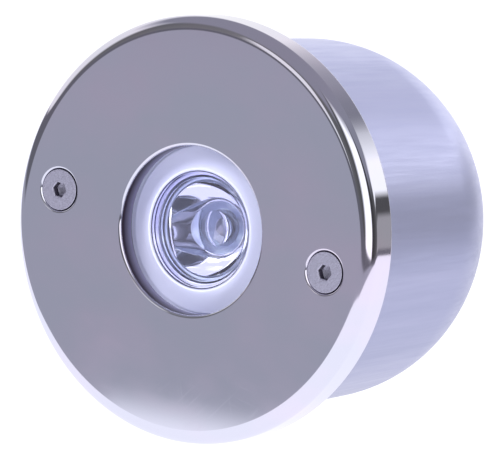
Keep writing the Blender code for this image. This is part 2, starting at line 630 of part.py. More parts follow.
def make_bezel(parent):
    """Satin ring round the window, with a raised lip, a coved slope and a flange behind the plate."""
    lip_depth = BEZEL_LIP_FRONT + BEZEL_LIP_ROUND
    slope_end = COVE_RADIUS - COVE_RISE / 2.0
    outline = arc((BEZEL_BORE + BEZEL_LIP_ROUND, lip_depth), BEZEL_LIP_ROUND, 180.0, 270.0, EDGE_STEPS)
    outline += [
        (BEZEL_LIP_RADIUS, BEZEL_LIP_FRONT),
        (BEZEL_LIP_RADIUS + BEZEL_LIP_ROUND, BEZEL_LIP_FRONT + BEZEL_LIP_ROUND / 2.0),
        (slope_end, COVE_FRONT - BEZEL_LIP_ROUND / 2.0),
        (COVE_RADIUS, COVE_FRONT),
        (COVE_RADIUS, BEZEL_FLANGE_FRONT),
        (BEZEL_FLANGE_RADIUS, BEZEL_FLANGE_FRONT),
        (BEZEL_FLANGE_RADIUS, BEZEL_BACK),
        (BEZEL_NECK_RADIUS, BEZEL_BACK),
        (BEZEL_NECK_RADIUS, BEZEL_NECK_BACK),
        (LEDGE_BORE, BEZEL_NECK_BACK),
        (LEDGE_BORE, LEDGE_FRONT),
        (BEZEL_BORE, LEDGE_FRONT),
    ]
    turned("bezel_ring", outline, MEDIUM_STEPS, "satin_steel", parent)
    gasket = ring(BEZEL_GASKET_INNER, BEZEL_FLANGE_RADIUS, BEZEL_GASKET_FRONT, BEZEL_GASKET_BACK)
    turned("bezel_gasket", gasket, MEDIUM_STEPS, "seal_rubber", parent)


def make_window(parent):
    """Flat glass in the bezel's bore, on a gasket that lies on the bezel's ledge."""
    radius = BEZEL_BORE - SEAT
    outline = [
        (0.0, WINDOW_FRONT),
        (radius - WINDOW_EDGE, WINDOW_FRONT),
        (radius, WINDOW_FRONT + WINDOW_EDGE),
        (radius, WINDOW_BACK),
        (0.0, WINDOW_BACK),
    ]
    turned("window_glass", outline, MEDIUM_STEPS, "glass", parent)
    gasket = ring(LEDGE_BORE, radius, WINDOW_GASKET_FRONT, WINDOW_GASKET_BACK)
    turned("window_gasket", gasket, MEDIUM_STEPS, "seal_rubber", parent)


def make_lens(parent):
    """Collimator: a flange, a flared side and a cavity with a crowned floor over the LED."""
    flare = []
    for i in range(ARC_STEPS + 1):
        share = i / ARC_STEPS
        reach = (1.0 - share) ** (1.0 / LENS_FLARE)
        radius = LENS_BASE_RADIUS + (LENS_TOP_RADIUS - LENS_BASE_RADIUS) * reach
        flare.append((radius, LENS_SHOULDER + LENS_BODY_LENGTH * share))
    crown = []
    for i in range(EDGE_STEPS + 1):
        share = 1.0 - i / EDGE_STEPS
        depth = LENS_CAVITY_FLOOR + LENS_CAVITY_CROWN * (1.0 - share ** 2)
        crown.append((LENS_CAVITY_TOP * share, depth))
    outline = [(0.0, LENS_FRONT), (LENS_FLANGE_RADIUS, LENS_FRONT), (LENS_FLANGE_RADIUS, LENS_SHOULDER)]
    outline += flare
    outline += [(LENS_CAVITY_MOUTH, LENS_BASE)]
    outline += crown
    turned("collimator_lens", outline, MEDIUM_STEPS, "lens_clear", parent)


def make_lens_holder(parent):
    """Open white cup that stands on the LED board and carries the lens by its flange."""
    outer = LENS_FLANGE_RADIUS
    inner = outer - HOLDER_WALL
    front = LENS_SHOULDER + SEAT
    back = LED_BOARD_FRONT - SEAT
    base = back - HOLDER_BASE_THICKNESS
    outline = [
        (inner, front),
        (outer, front),
        (outer, back),
        (HOLDER_BASE_BORE, back),
        (HOLDER_BASE_BORE, base),
        (inner, base),
    ]
    turned("lens_holder", outline, MEDIUM_STEPS, "holder_white", parent)


def make_led(parent):
    """LED package with its clear dome, on a round metal-cored board held by two screws."""
    base_back = LED_BOARD_FRONT - SEAT
    base_front = base_back - LED_BASE_THICKNESS
    centre = (0.0, (base_front + base_back) / 2.0, 0.0)
    box("led_package", (LED_BASE_SIZE, LED_BASE_THICKNESS, LED_BASE_SIZE), centre, "ceramic", parent)
    dome_base = base_front - SEAT
    dome = arc((0.0, dome_base), LED_DOME_RADIUS, -90.0, 0.0, ARC_STEPS)
    dome[0] = (0.0, dome_base - LED_DOME_RADIUS)
    turned("led_dome", dome + [(0.0, dome_base)], SMALL_STEPS, "silicone_clear", parent)
    board = turned("led_board", disc(LED_BOARD_RADIUS, LED_BOARD_FRONT, LED_BOARD_BACK),
                   MEDIUM_STEPS, "board_white", parent)
    under_head = LED_BOARD_FRONT - SEAT
    for number, side in enumerate((-1.0, 1.0), start=1):
        place = (side * BOARD_SCREW_PLACE, 0.0)
        drill(board, BOARD_SCREW_SHANK + RUNNING, LED_BOARD_FRONT - CUT_OVERRUN,
              LED_BOARD_BACK + CUT_OVERRUN, place, TINY_STEPS)
        pan_screw("board_screw_" + str(number), BOARD_SCREW_SHANK, BOARD_SCREW_HEAD,
                  BOARD_SCREW_HEAD_HEIGHT, under_head, under_head + BOARD_SCREW_LENGTH,
                  "screw_steel", parent, place)


def make_heat_path(parent):
    """Thermal pad and aluminium slug behind the LED board, with holes for screws and leads."""
    turned("thermal_pad", disc(PAD_RADIUS, PAD_FRONT, PAD_FRONT + PAD_THICKNESS),
           SMALL_STEPS, "pad_grey", parent)
    slug = turned("heat_slug", disc(BODY_BORE - SEAT, SLUG_FRONT, SLUG_BACK),
                  MEDIUM_STEPS, "aluminium", parent)
    screw_tip = LED_BOARD_FRONT - SEAT + BOARD_SCREW_LENGTH
    for side in (-1.0, 1.0):
        drill(slug, BOARD_SCREW_SHANK + RUNNING, SLUG_FRONT - CUT_OVERRUN, screw_tip + SEAT,
              (side * BOARD_SCREW_PLACE, 0.0), TINY_STEPS)
        drill(slug, LEAD_HOLE, SLUG_FRONT - CUT_OVERRUN, SLUG_BACK + CUT_OVERRUN,
              (0.0, side * LEAD_RUN), TINY_STEPS)


def make_lamp_body(parent):
    """Tube of the capsule with a screw flange, a lip behind the bezel and an O-ring groove."""
    flange_back = BODY_FRONT + BODY_FLANGE_THICKNESS
    groove_floor = BODY_FRONT + SEAL_GROOVE_DEPTH
    outline = [
        (BODY_LIP_RADIUS, BODY_FRONT),
        (SEAL_PLACE - SEAL_GROOVE, BODY_FRONT),
        (SEAL_PLACE - SEAL_GROOVE, groove_floor),
        (SEAL_PLACE + SEAL_GROOVE, groove_floor),
        (SEAL_PLACE + SEAL_GROOVE, BODY_FRONT),
        (BODY_FLANGE_RADIUS, BODY_FRONT),
        (BODY_FLANGE_RADIUS, flange_back),
        (BODY_RADIUS, flange_back),
        (BODY_RADIUS, BODY_END),
        (BODY_BORE, BODY_END),
        (BODY_BORE, flange_back),
        (BODY_LIP_RADIUS, flange_back),
    ]
    body = turned("lamp_body", outline, MEDIUM_STEPS, "aluminium", parent)
    seal_centre = groove_floor - SEAT - SEAL_SECTION
    seal = arc((SEAL_PLACE, seal_centre), SEAL_SECTION, 0.0, 360.0, ARC_STEPS)[:-1]
    turned("body_seal", seal, MEDIUM_STEPS, "seal_rubber", parent)
    for number, angle in enumerate(BODY_SCREW_ANGLES, start=1):
        place = on_circle(BODY_SCREW_PLACE, angle)
        drill(body, BODY_SCREW_SHANK + RUNNING, BODY_FRONT - CUT_OVERRUN, flange_back + CUT_OVERRUN,
              place, TINY_STEPS)
        pan_screw("body_screw_" + str(number), BODY_SCREW_SHANK, BODY_SCREW_HEAD,
                  BODY_SCREW_HEAD_HEIGHT, flange_back + SEAT, PLATE_BACK - BODY_SCREW_REACH,
                  "screw_steel", parent, place)


def make_driver(parent):
    """Round driver board on three posts, with its screws and its components behind it."""
    board = turned("driver_board", disc(DRIVER_RADIUS, DRIVER_FRONT, DRIVER_BACK),
                   MEDIUM_STEPS, "board_green", parent)
    for number, angle in enumerate(POST_ANGLES, start=1):
        place = on_circle(POST_PLACE, angle)
        hole = POST_SCREW_SHANK + RUNNING
        drill(board, hole, DRIVER_FRONT - CUT_OVERRUN, DRIVER_BACK + CUT_OVERRUN, place, TINY_STEPS)
        turned("driver_post_" + str(number), ring(hole, POST_RADIUS, POST_FRONT, POST_BACK),
               TINY_STEPS, "brass_plated", parent, place)
        pan_screw("driver_screw_" + str(number), POST_SCREW_SHANK, POST_SCREW_HEAD,
                  POST_SCREW_HEAD_HEIGHT, DRIVER_BACK + SEAT, POST_BACK - POST_SCREW_REACH,
                  "screw_steel", parent, place)
    make_coil(parent)
    make_capacitor(parent)
    chip_size = (CHIP_WIDTH, CHIP_THICKNESS, CHIP_LENGTH)
    chip_centre = (CHIP_DISTANCE, COMPONENT_SEAT + CHIP_THICKNESS / 2.0, 0.0)
    box("driver_chip", chip_size, chip_centre, "component_black", parent)
    make_terminal_block(parent)


def make_coil(parent):
    """Choke on the driver board, with a flange at each end of its winding."""
    top = COMPONENT_SEAT + COIL_HEIGHT
    outline = [
        (0.0, COMPONENT_SEAT),
        (COIL_RADIUS, COMPONENT_SEAT),
        (COIL_RADIUS, COMPONENT_SEAT + COIL_FLANGE),
        (COIL_WAIST, COMPONENT_SEAT + COIL_FLANGE),
        (COIL_WAIST, top - COIL_FLANGE),
        (COIL_RADIUS, top - COIL_FLANGE),
        (COIL_RADIUS, top),
        (0.0, top),
    ]
    turned("driver_coil", outline, SMALL_STEPS, "copper", parent, on_circle(COIL_DISTANCE, COIL_ANGLE))


def make_capacitor(parent):
    """Can of the driver's capacitor, with a rounded top edge."""
    top = COMPONENT_SEAT + CAPACITOR_HEIGHT
    outline = [
        (0.0, COMPONENT_SEAT),
        (CAPACITOR_RADIUS, COMPONENT_SEAT),
        (CAPACITOR_RADIUS, top - CAPACITOR_ROUND),
        (CAPACITOR_RADIUS - CAPACITOR_ROUND, top),
        (0.0, top),
    ]
    place = on_circle(CAPACITOR_DISTANCE, CAPACITOR_ANGLE)
    turned("driver_capacitor", outline, SMALL_STEPS, "aluminium", parent, place)


def make_terminal_block(parent):
    """Two-pole terminal block with a screw well over each pole."""
    x, z = TERMINAL_PLACE
    middle = COMPONENT_SEAT + TERMINAL_HEIGHT / 2.0
    top = COMPONENT_SEAT + TERMINAL_HEIGHT
    size = (TERMINAL_WIDTH, TERMINAL_HEIGHT, TERMINAL_DEPTH)
    block = box("terminal_block", size, (x, middle, z), "terminal_green", parent)
    for side in (-1.0, 1.0):
        place = (x + side * TERMINAL_WIDTH / 4.0, z)
        drill(block, TERMINAL_HOLE, middle, top + CUT_OVERRUN, place, TINY_STEPS)


def make_lead(name, side, finish, parent):
    """Insulated lead from the LED board's pad, over in a half turn, back to the driver board."""
    radius = (LEAD_RUN - LEAD_START) / 2.0
    middle = (LEAD_RUN + LEAD_START) / 2.0
    turn_depth = LED_BOARD_FRONT - SEAT - LEAD_RISE
    points = [(LEAD_START, LED_BOARD_FRONT - SEAT)]
    for i in range(LEAD_POINTS):
        angle = math.pi * i / (LEAD_POINTS - 1)
        points.append((middle - radius * math.cos(angle), turn_depth - radius * math.sin(angle)))
    points.append((LEAD_RUN, DRIVER_FRONT - SEAT))
    curve = bpy.data.curves.new(name, "CURVE")
    curve.dimensions = "3D"
    curve.bevel_depth = LEAD_RADIUS
    curve.bevel_resolution = 2
    curve.use_fill_caps = True
    spline = curve.splines.new("POLY")
    spline.points.add(len(points) - 1)
    for point, (distance, depth) in zip(spline.points, points):
        point.co = (0.0, depth, side * distance, 1.0)
    lead = bpy.data.objects.new(name, curve)
    parts.objects.link(lead)
    lead.parent = parent
    curve.materials.append(finish_material(finish))


def make_rear_cap(parent):
    """Cap screwed into the capsule's tube, with the gland's hole, and its flat gasket."""
    hole = GLAND_RADIUS + SEAT
    outline = [
        (hole, CAP_PLUG_FRONT),
        (BODY_BORE - SEAT - CAP_CHAMFER, CAP_PLUG_FRONT),
        (BODY_BORE - SEAT, CAP_PLUG_FRONT + CAP_CHAMFER),
        (BODY_BORE - SEAT, CAP_FLANGE_FRONT),
        (BODY_RADIUS, CAP_FLANGE_FRONT),
        (BODY_RADIUS, CAP_BACK - CAP_CHAMFER),
        (BODY_RADIUS - CAP_CHAMFER, CAP_BACK),
        (hole, CAP_BACK),
    ]
    turned("rear_cap", outline, MEDIUM_STEPS, "aluminium", parent)
    gasket = ring(BODY_BORE, BODY_RADIUS, CAP_GASKET_FRONT, CAP_GASKET_BACK)
    turned("rear_cap_gasket", gasket, MEDIUM_STEPS, "seal_rubber", parent)


def make_gland(parent):
    """Cable gland through the rear cap: threaded body, locknut inside, rubber seal, dome nut."""
    outline = [
        (GLAND_BORE, GLAND_FRONT),
        (GLAND_RADIUS, GLAND_FRONT),
        (GLAND_RADIUS, GLAND_HEX_FRONT),
        (GLAND_HEX_RADIUS, GLAND_HEX_FRONT),
        (GLAND_HEX_RADIUS, GLAND_HEX_BACK),
        (GLAND_RADIUS, GLAND_HEX_BACK),
        (GLAND_RADIUS, GLAND_BACK),
        (GLAND_SEAT_BORE, GLAND_BACK),
        (GLAND_SEAT_BORE, GLAND_HEX_BACK),
        (GLAND_BORE, GLAND_HEX_BACK),
    ]
    body = turned("gland_body", outline, SMALL_STEPS, "brass_plated", parent)
    flats = hexagon("flats_for_gland_body", GLAND_HEX_RADIUS, GLAND_FRONT - CUT_OVERRUN,
                    GLAND_BACK + CUT_OVERRUN, "brass_plated")
    combine(body, flats, "INTERSECT")
    locknut = hexagon("gland_locknut", LOCKNUT_RADIUS, LOCKNUT_FRONT, LOCKNUT_BACK, "brass_plated", parent)
    drill(locknut, GLAND_RADIUS + RUNNING, LOCKNUT_FRONT - CUT_OVERRUN, LOCKNUT_BACK + CUT_OVERRUN,
          (0.0, 0.0))
    nut_bore = GLAND_RADIUS + GLAND_NUT_WALL_GAP
    end_wall = GLAND_NUT_BACK - GLAND_NUT_END
    seal = ring(CABLE_RADIUS, GLAND_SEAT_BORE - SEAT, GLAND_HEX_BACK + SEAT, end_wall - SEAL_OVERHANG)
    turned("gland_seal", seal, SMALL_STEPS, "seal_rubber", parent)
    rounding = (GLAND_NUT_RADIUS - GLAND_NUT_ROUND, GLAND_NUT_BACK - GLAND_NUT_ROUND)
    nut = [(nut_bore, GLAND_NUT_FRONT), (GLAND_NUT_RADIUS, GLAND_NUT_FRONT)]
    nut += arc(rounding, GLAND_NUT_ROUND, 0.0, 90.0, EDGE_STEPS)
    nut += [(CABLE_RADIUS, GLAND_NUT_BACK), (CABLE_RADIUS, end_wall), (nut_bore, end_wall)]
    turned("gland_nut", nut, SMALL_STEPS, "brass_plated", parent)


def make_pool_light():
    """Build the niche first, then the lamp insert with its captive screws."""
    make_niche_can()
    make_lug("left_lug", -1.0)
    make_lug("right_lug", 1.0)
    make_conduit_hub()
    insert = bpy.data.objects.new("lamp_insert", None)
    parts.objects.link(insert)
    make_faceplate(insert)
    make_face_screw("left_screw", -1.0, insert)
    make_face_screw("right_screw", 1.0, insert)
    make_bezel(insert)
    make_window(insert)
    make_lens(insert)
    make_lens_holder(insert)
    make_led(insert)
    make_heat_path(insert)
    make_lamp_body(insert)
    make_driver(insert)
    make_lead("led_lead_red", 1.0, "lead_red", insert)
    make_lead("led_lead_black", -1.0, "lead_black", insert)
    make_rear_cap(insert)
    make_gland(insert)


clear_scene()
parts = new_collection("pool_light")
cutters = new_collection("pool_light_cutters")
make_pool_light()
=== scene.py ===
"""Studio scene for a small recessed pool light of stainless steel.

The sections follow the light as it is put together: the niche that stays in the wall first, then
the lamp insert from its faceplate back to its cable gland, and the studio last. Metres, +Z up.
The light's axis is Y and it faces -Y. An outline is a run of (radius, depth, fillet) corners, where
depth is measured along Y from the wall plane.
"""

import math

import bmesh
import bpy
import numpy as np
from mathutils import Matrix, Vector


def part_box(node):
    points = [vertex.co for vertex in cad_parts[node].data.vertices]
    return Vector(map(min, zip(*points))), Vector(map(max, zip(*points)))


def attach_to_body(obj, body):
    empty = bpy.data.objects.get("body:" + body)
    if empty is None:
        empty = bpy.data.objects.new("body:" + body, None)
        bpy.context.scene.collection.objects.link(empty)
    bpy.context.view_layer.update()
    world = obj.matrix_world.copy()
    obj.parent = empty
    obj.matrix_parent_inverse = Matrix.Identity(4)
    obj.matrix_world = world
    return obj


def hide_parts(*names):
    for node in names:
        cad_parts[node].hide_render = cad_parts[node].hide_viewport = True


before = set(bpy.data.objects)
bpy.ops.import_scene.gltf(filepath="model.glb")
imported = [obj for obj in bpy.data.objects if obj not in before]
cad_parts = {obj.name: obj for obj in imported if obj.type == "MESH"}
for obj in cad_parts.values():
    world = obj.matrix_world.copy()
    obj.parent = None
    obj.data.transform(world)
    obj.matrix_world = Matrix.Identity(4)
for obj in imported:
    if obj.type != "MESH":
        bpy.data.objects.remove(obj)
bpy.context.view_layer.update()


# Niche can
# The pot that is grouted into the pool wall, deep drawn from 1.2 mm stainless sheet with one large
# bend into its back. Its outside is brushed along its length.


def depths(node):
    """Front and back of a CAD node along Y."""
    low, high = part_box(node)
    return low.y, high.y


def true_radius(node, steps=36):
    """Radius of a turned CAD node, whose widest points lie half a step beside the X axis."""
    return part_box(node)[1].x / math.cos(math.pi / steps)


CAN_MOUTH, CAN_BACK = depths("niche_can")
CAN_MOUTH_RADIUS = true_radius("niche_can", 48)
CAN_DRAFT = 0.0022           # how much narrower the can would be at its back without its bend
CAN_BEND = 0.0255
CAN_WALL = 0.0012
CAN_LIP = 0.0004
HUB_HOLE = 0.0058
EDGE = 0.0002                # rounding of a cut or turned edge
ARC_SPACING = 0.0003         # largest distance between two points on a large bend
HOLD_SHARE = 0.08            # of a fillet: how far past it a flat's first point lies
COS_30 = math.cos(math.pi / 6.0)
FULL_TURN = 2.0 * math.pi


def eased(corners):
    """Outline through (radius, depth, fillet) corners, with an arc in place of each corner.

    The arc touches both edges at fillet / tan(half the corner's angle), and its points are the
    spherical blend of the two radii to the touching points. A flat has one more point close to
    each arc, so that smooth shading leaves it flat.
    """
    corners = np.array(corners, dtype=float)
    outline = []
    for here, before, after in zip(corners, np.roll(corners, 1, axis=0), np.roll(corners, -1, axis=0)):
        place, fillet = here[:2], here[2]
        if fillet <= 0.0:
            outline.append(place[None])
            continue
        back, on = before[:2] - place, after[:2] - place
        back_length, on_length = np.linalg.norm(back), np.linalg.norm(on)
        back, on = back / back_length, on / on_length
        half = math.acos(np.clip(back @ on, -1.0, 1.0)) / 2.0
        touch = fillet / math.tan(half)
        centre = place + (back + on) / np.linalg.norm(back + on) * touch / math.cos(half)
        first, last = place + back * touch - centre, place + on * touch - centre
        sweep = math.pi - 2.0 * half
        count = int(np.clip(4 + fillet * sweep / ARC_SPACING, 5, 60))
        share = np.linspace(0.0, 1.0, count)[:, None]
        arc = (np.sin((1.0 - share) * sweep) * first + np.sin(share * sweep) * last) / math.sin(sweep)
        lead_in = place + back * min(touch + HOLD_SHARE * fillet, back_length)
        lead_out = place + on * min(touch + HOLD_SHARE * fillet, on_length)
        outline += [lead_in[None], centre + arc, lead_out[None]]
    return np.concatenate(outline)


def finish_mesh(name, points, faces, sharp_from=40.0):
    """Merge what coincides, turn the faces outwards, and shade smooth but for real corners."""
    mesh = bpy.data.meshes.new(name)
    mesh.from_pydata(points.reshape(-1, 3).tolist(), [], faces)
    shape = bmesh.new()
    shape.from_mesh(mesh)
    bmesh.ops.remove_doubles(shape, verts=shape.verts, dist=1e-7)
    bmesh.ops.recalc_face_normals(shape, faces=shape.faces)
    shape.to_mesh(mesh)
    shape.free()
    mesh.shade_smooth()
    mesh.set_sharp_from_angle(angle=math.radians(sharp_from))
    piece = bpy.data.objects.new(name, mesh)
    bpy.context.scene.collection.objects.link(piece)
    return piece


def grid_faces(rows, columns, round_rows=False):
    """Quads of a grid of rows by columns whose columns close round, as an array of four corners."""
    row, column = np.indices((rows if round_rows else rows - 1, columns))
    below, beside = (row + 1) % rows, (column + 1) % columns
    corners = [row * columns + column, below * columns + column,
               below * columns + beside, row * columns + beside]
    return np.stack(corners, axis=-1)


def round_axis(radius, depth, turn):
    """Points (r cos v, depth, r sin v) as an array."""
    return np.stack([radius * np.cos(turn), depth + 0.0 * turn, radius * np.sin(turn)], axis=-1)


def spin(name, outline, steps=192, centre=(0.0, 0.0), thread=None, sharp_from=40.0):
    """Surface of revolution: (cx + r(u) cos v, depth(u), cz + r(u) sin v).

    u runs along the outline's (radius, depth) rows and v round a full turn. A third column, from 0
    to 1, blends the circle into a hexagon of the same corner radius. thread(r, depth, v) is taken
    off r. An outline that starts and ends off the axis is closed on itself.
    """
    turn = np.linspace(0.0, FULL_TURN, steps, endpoint=False)[None, :]
    radius, depth, six = outline[:, :1], outline[:, 1:2], outline[:, 2:]
    if six.size:
        radius = radius * (1.0 + six * (COS_30 / np.cos(np.mod(turn, math.pi / 3.0) - math.pi / 6.0) - 1.0))
    if thread is not None:
        radius = radius - thread(radius, depth, turn)
    points = round_axis(radius, depth, turn) + (centre[0], 0.0, centre[1])
    closed = min(outline[0, 0], outline[-1, 0]) > 0.0
    faces = grid_faces(len(outline), steps, round_rows=closed)
    return finish_mesh(name, points, faces.reshape(-1, 4).tolist(), sharp_from)


def link(value, socket):
    """Feed a value into another node's socket."""
    value.id_data.links.new(value, socket)


def put(kind, *values, output=0, **settings):
    """Add a shader node, set its properties, set or link its inputs in order, give one output.

    The node goes into the tree of the first value that is another node's output.
    """
    tree = next(value.id_data for value in values if isinstance(value, bpy.types.NodeSocket))
    node = tree.nodes.new(kind)
    for label, value in settings.items():
        setattr(node, label, value)
    for socket, value in zip(node.inputs, values):
        if isinstance(value, bpy.types.NodeSocket):
            link(value, socket)
        elif value is not None:
            socket.default_value = (*value, 1.0) if socket.type == "RGBA" else value
    return node.outputs[output]


def calculate(operation, first, second=None, third=None):
    """One Math node's result."""
    return put("ShaderNodeMath", first, second, third, operation=operation)


def vector(operation, first, second=None, output=0):
    """One Vector Math node's result, which is a number for LENGTH and DOT_PRODUCT."""
    return put("ShaderNodeVectorMath", first, second, output=output, operation=operation)


def along(place, axis):
    """A place's X, Y or Z."""
    return put("ShaderNodeSeparateXYZ", place, output=axis)


def remap(value, low, high, to_low=0.0, to_high=1.0):
    """Map a value from low..high to to_low..to_high, clamped."""
    return put("ShaderNodeMapRange", value, low, high, to_low, to_high)


def noise(place, scale, detail=2.0, roughness=0.5):
    """Noise from 0 to 1 at a place: features 1 / scale metres across."""
    return put("ShaderNodeTexNoise", place, None, scale, detail, roughness, output="Fac")


def mix_colours(factor, first, second):
    """Colour between two colours, each given as three numbers or as a socket."""
    return put("ShaderNodeMix", factor, *[None] * 5, first, second, output=2, data_type="RGBA")


def new_material(name, colour, metallic, roughness, **inputs):
    """A material: returns it, its Principled BSDF, and the place in the CAD frame."""
    material = bpy.data.materials.new(name)
    material.use_nodes = True
    shader = material.node_tree.nodes["Principled BSDF"]
    inputs = {"Base Color": (*colour, 1.0), "Metallic": metallic, "Roughness": roughness, **inputs}
    for label, value in inputs.items():
        shader.inputs[label.replace("_", " ")].default_value = value
    return material, shader, material.node_tree.nodes.new("ShaderNodeTexCoord").outputs["Object"]


def relief(shader, height, depth):
    """Fine relief: a height from 0 to 1, scaled to a depth in metres."""
    link(put("ShaderNodeBump", 1.0, depth, None, height), shader.inputs["Normal"])


def finish(shader, tone, dark, light, gloss, smooth, rough, depth=0.0):
    """Colour from dark to light with a tone, roughness from smooth to rough and relief with a gloss."""
    link(mix_colours(tone, dark, light), shader.inputs["Base Color"])
    link(remap(gloss, 0.0, 1.0, smooth, rough), shader.inputs["Roughness"])
    if depth:
        relief(shader, gloss, depth)


def brushed_steel():
    """Brushed sheet steel: fine strokes along the can over broader bands, and painted shade that darkens its
    lower half.
    """
    material, shader, place = new_material("brushed_steel", (0.54, 0.56, 0.77), 0.88, 0.34)
    strokes = vector("MULTIPLY", place, (1500.0, 15.0, 1500.0))
    lines = noise(strokes, 1.0, 3.0, 0.65)
    bands = noise(vector("MULTIPLY", strokes, (0.10, 0.3, 0.10)), 1.0)
    height = calculate("MULTIPLY_ADD", noise(place, 40.0), 0.006, along(place, "Z"))
    # Painted light and shade: the can's tones are lighter towards its top and darker over its lower half.
    painted_top_light = remap(height, 0.006, 0.026)
    dark = mix_colours(painted_top_light, (0.33, 0.345, 0.50), (0.60, 0.625, 0.89))
    light = mix_colours(painted_top_light, (0.38, 0.39, 0.55), (0.69, 0.705, 0.98))
    finish(shader, remap(bands, 0.3, 0.7), dark, light, remap(lines, 0.3, 0.7), 0.30, 0.42, 0.000006)
    return material


def attach(piece, node, material, body="lamp"):
    """Give a piece its material, put it under its body, and hide the CAD node that it stands for."""
    piece.data.materials.append(material)
    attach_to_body(piece, body)
    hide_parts(node)


drawn_can = spin("drawn_can", eased([
    (CAN_MOUTH_RADIUS - CAN_WALL, CAN_MOUTH, CAN_LIP), (CAN_MOUTH_RADIUS, CAN_MOUTH, CAN_LIP),
    (CAN_MOUTH_RADIUS - CAN_DRAFT, CAN_BACK, CAN_BEND),
    (HUB_HOLE, CAN_BACK, EDGE), (HUB_HOLE, CAN_BACK - CAN_WALL, EDGE),
    (CAN_MOUTH_RADIUS - CAN_DRAFT - CAN_WALL, CAN_BACK - CAN_WALL, CAN_BEND - CAN_WALL),
]), 256)
attach(drawn_can, "niche_can", brushed_steel(), "niche")


# Lugs in the niche's mouth
# Two milled steel blocks, welded inside the can's mouth and tapped for the face screws. They keep
# their CAD shape and get a milled finish.


def from_axis(place, kept=(1.0, 0.0, 1.0)):
    """Distance from the Y axis, or from the axis that the kept directions leave out."""
    return vector("LENGTH", vector("MULTIPLY", place, kept), output="Value")


def new_group(name, label, value, *results):
    """Start a node group with one number as input: returns it, the number, its results, the place."""
    group = bpy.data.node_groups.new(name, "ShaderNodeTree")
    socket = group.interface.new_socket(label, in_out="INPUT", socket_type="NodeSocketFloat")
    socket.default_value = value
    for result in results:
        group.interface.new_socket(result, in_out="OUTPUT", socket_type="NodeSocketFloat")
    given, result, place = [group.nodes.new(kind) for kind in (
        "NodeGroupInput", "NodeGroupOutput", "ShaderNodeTexCoord")]
    return group, given.outputs[label], result.inputs, place.outputs["Object"]


def use(place, group, value):
    """Put a node group beside a place's node with its own value for its input: its outputs."""
    node = place.id_data.nodes.new("ShaderNodeGroup")
    node.node_tree = group
    node.inputs[0].default_value = value
    return node.outputs


def make_turning():
    """Turning marks: noise of the distance from the Y axis and of the depth, so in fine rings."""
    group, lines, result, place = new_group("turning_marks", "Lines", 2500.0, "Lines", "Clouds")
    cloud = noise(place, 45.0)
    rings = put("ShaderNodeCombineXYZ", from_axis(place), along(place, "Y"),
                calculate("MULTIPLY", cloud, 0.0003))
    link(remap(noise(rings, lines, 3.0, 0.7), 0.3, 0.7), result["Lines"])
    link(remap(cloud, 0.3, 0.7), result["Clouds"])
    return group


TURNING = make_turning()


def turned_metal(name, dark, light, smooth, rough, lines=2500.0, depth=0.000004):
    """Metal off the lathe: fine rings round the axis, soft clouds of colour and gloss."""
    material, shader, place = new_material(name, light, 1.0, smooth)
    marks = use(place, TURNING, lines)
    finish(shader, marks["Clouds"], dark, light, marks["Lines"], smooth, rough, depth)
    return material


def dress(material, *names):
    """Give CAD nodes that keep their shape a better material."""
    for name in names:
        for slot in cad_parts[name].material_slots:
            slot.material = material


dress(turned_metal("milled_steel", (0.42, 0.42, 0.45), (0.55, 0.55, 0.59), 0.28, 0.42),
      "left_lug", "right_lug")


# Conduit hub
# Nickel-plated brass fitting through the can's back, where the cable leaves for the conduit. It is
# clamped on a rubber washer by a hexagon locknut inside.

CLEARANCE = 0.0003           # between two pieces that touch on the real light
SOFT_EDGE = 0.0003
HUB_FRONT, HUB_BACK = depths("conduit_hub")
HUB_RADIUS = 0.0055
HUB_BORE = 0.0040
HUB_FLANGE_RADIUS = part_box("conduit_hub")[1].x
HUB_FLANGE_FRONT = depths("hub_washer")[1] + CLEARANCE
HUB_FLANGE_BACK = HUB_FLANGE_FRONT + 0.0025
HUB_NUT_CORNER = 0.0086
HUB_NUT_HOLE = 0.0057
PIPE_PITCH = 0.0010
PIPE_THREAD_DEPTH = 0.00045
NUT_CHAMFER = 0.0004
THREAD_ROW = 0.00012         # distance between the rows of a threaded stretch


def run(start, end, spacing):
    """Evenly spaced (radius, depth, fillet) corners with no fillet, from one place to another."""
    count = max(2, int(np.linalg.norm(np.subtract(end, start)) / spacing) + 1)
    return np.linspace((*start, 0.0), (*end, 0.0), count).tolist()


def cut_thread(pitch, cut_depth, radius, *stretches):
    """Cut of a right-hand thread: a triangle wave of depth / pitch - v / (2 pi), from 0 to cut_depth.

    It is cut where the outline has the thread's radius, over each (start, end) stretch of depth,
    and fades out over half a pitch at both ends.
    """
    def cut(here, depth, turn):
        phase = np.mod(depth / pitch - turn / FULL_TURN, 1.0)
        fade = np.zeros_like(depth)
        for start, end in stretches:
            begun = np.clip((depth - start) * 2.0 / pitch, 0.0, 1.0)
            fade = np.maximum(fade, begun * np.clip((end - depth) * 2.0 / pitch, 0.0, 1.0))
        fade = fade * (np.abs(here - radius) < 0.00001)
        return cut_depth * fade * (1.0 - np.abs(2.0 * phase - 1.0))
    return cut


plated_brass = turned_metal("plated_brass", (0.60, 0.57, 0.50), (0.70, 0.67, 0.60), 0.20, 0.34)
hub_outline = eased([
    (HUB_BORE, HUB_FRONT, SOFT_EDGE), (HUB_RADIUS, HUB_FRONT, 0.0005),
    *run((HUB_RADIUS, HUB_FRONT + 0.0008), (HUB_RADIUS, HUB_FLANGE_FRONT - 0.0002), THREAD_ROW),
    (HUB_RADIUS, HUB_FLANGE_FRONT, 0.0), (HUB_FLANGE_RADIUS, HUB_FLANGE_FRONT, SOFT_EDGE),
    (HUB_FLANGE_RADIUS, HUB_FLANGE_BACK, 0.0004), (HUB_RADIUS, HUB_FLANGE_BACK, 0.0),
    *run((HUB_RADIUS, HUB_FLANGE_BACK + 0.0003), (HUB_RADIUS, HUB_BACK - 0.0008), THREAD_ROW),
    (HUB_RADIUS, HUB_BACK, 0.0005), (HUB_BORE, HUB_BACK, SOFT_EDGE),
])
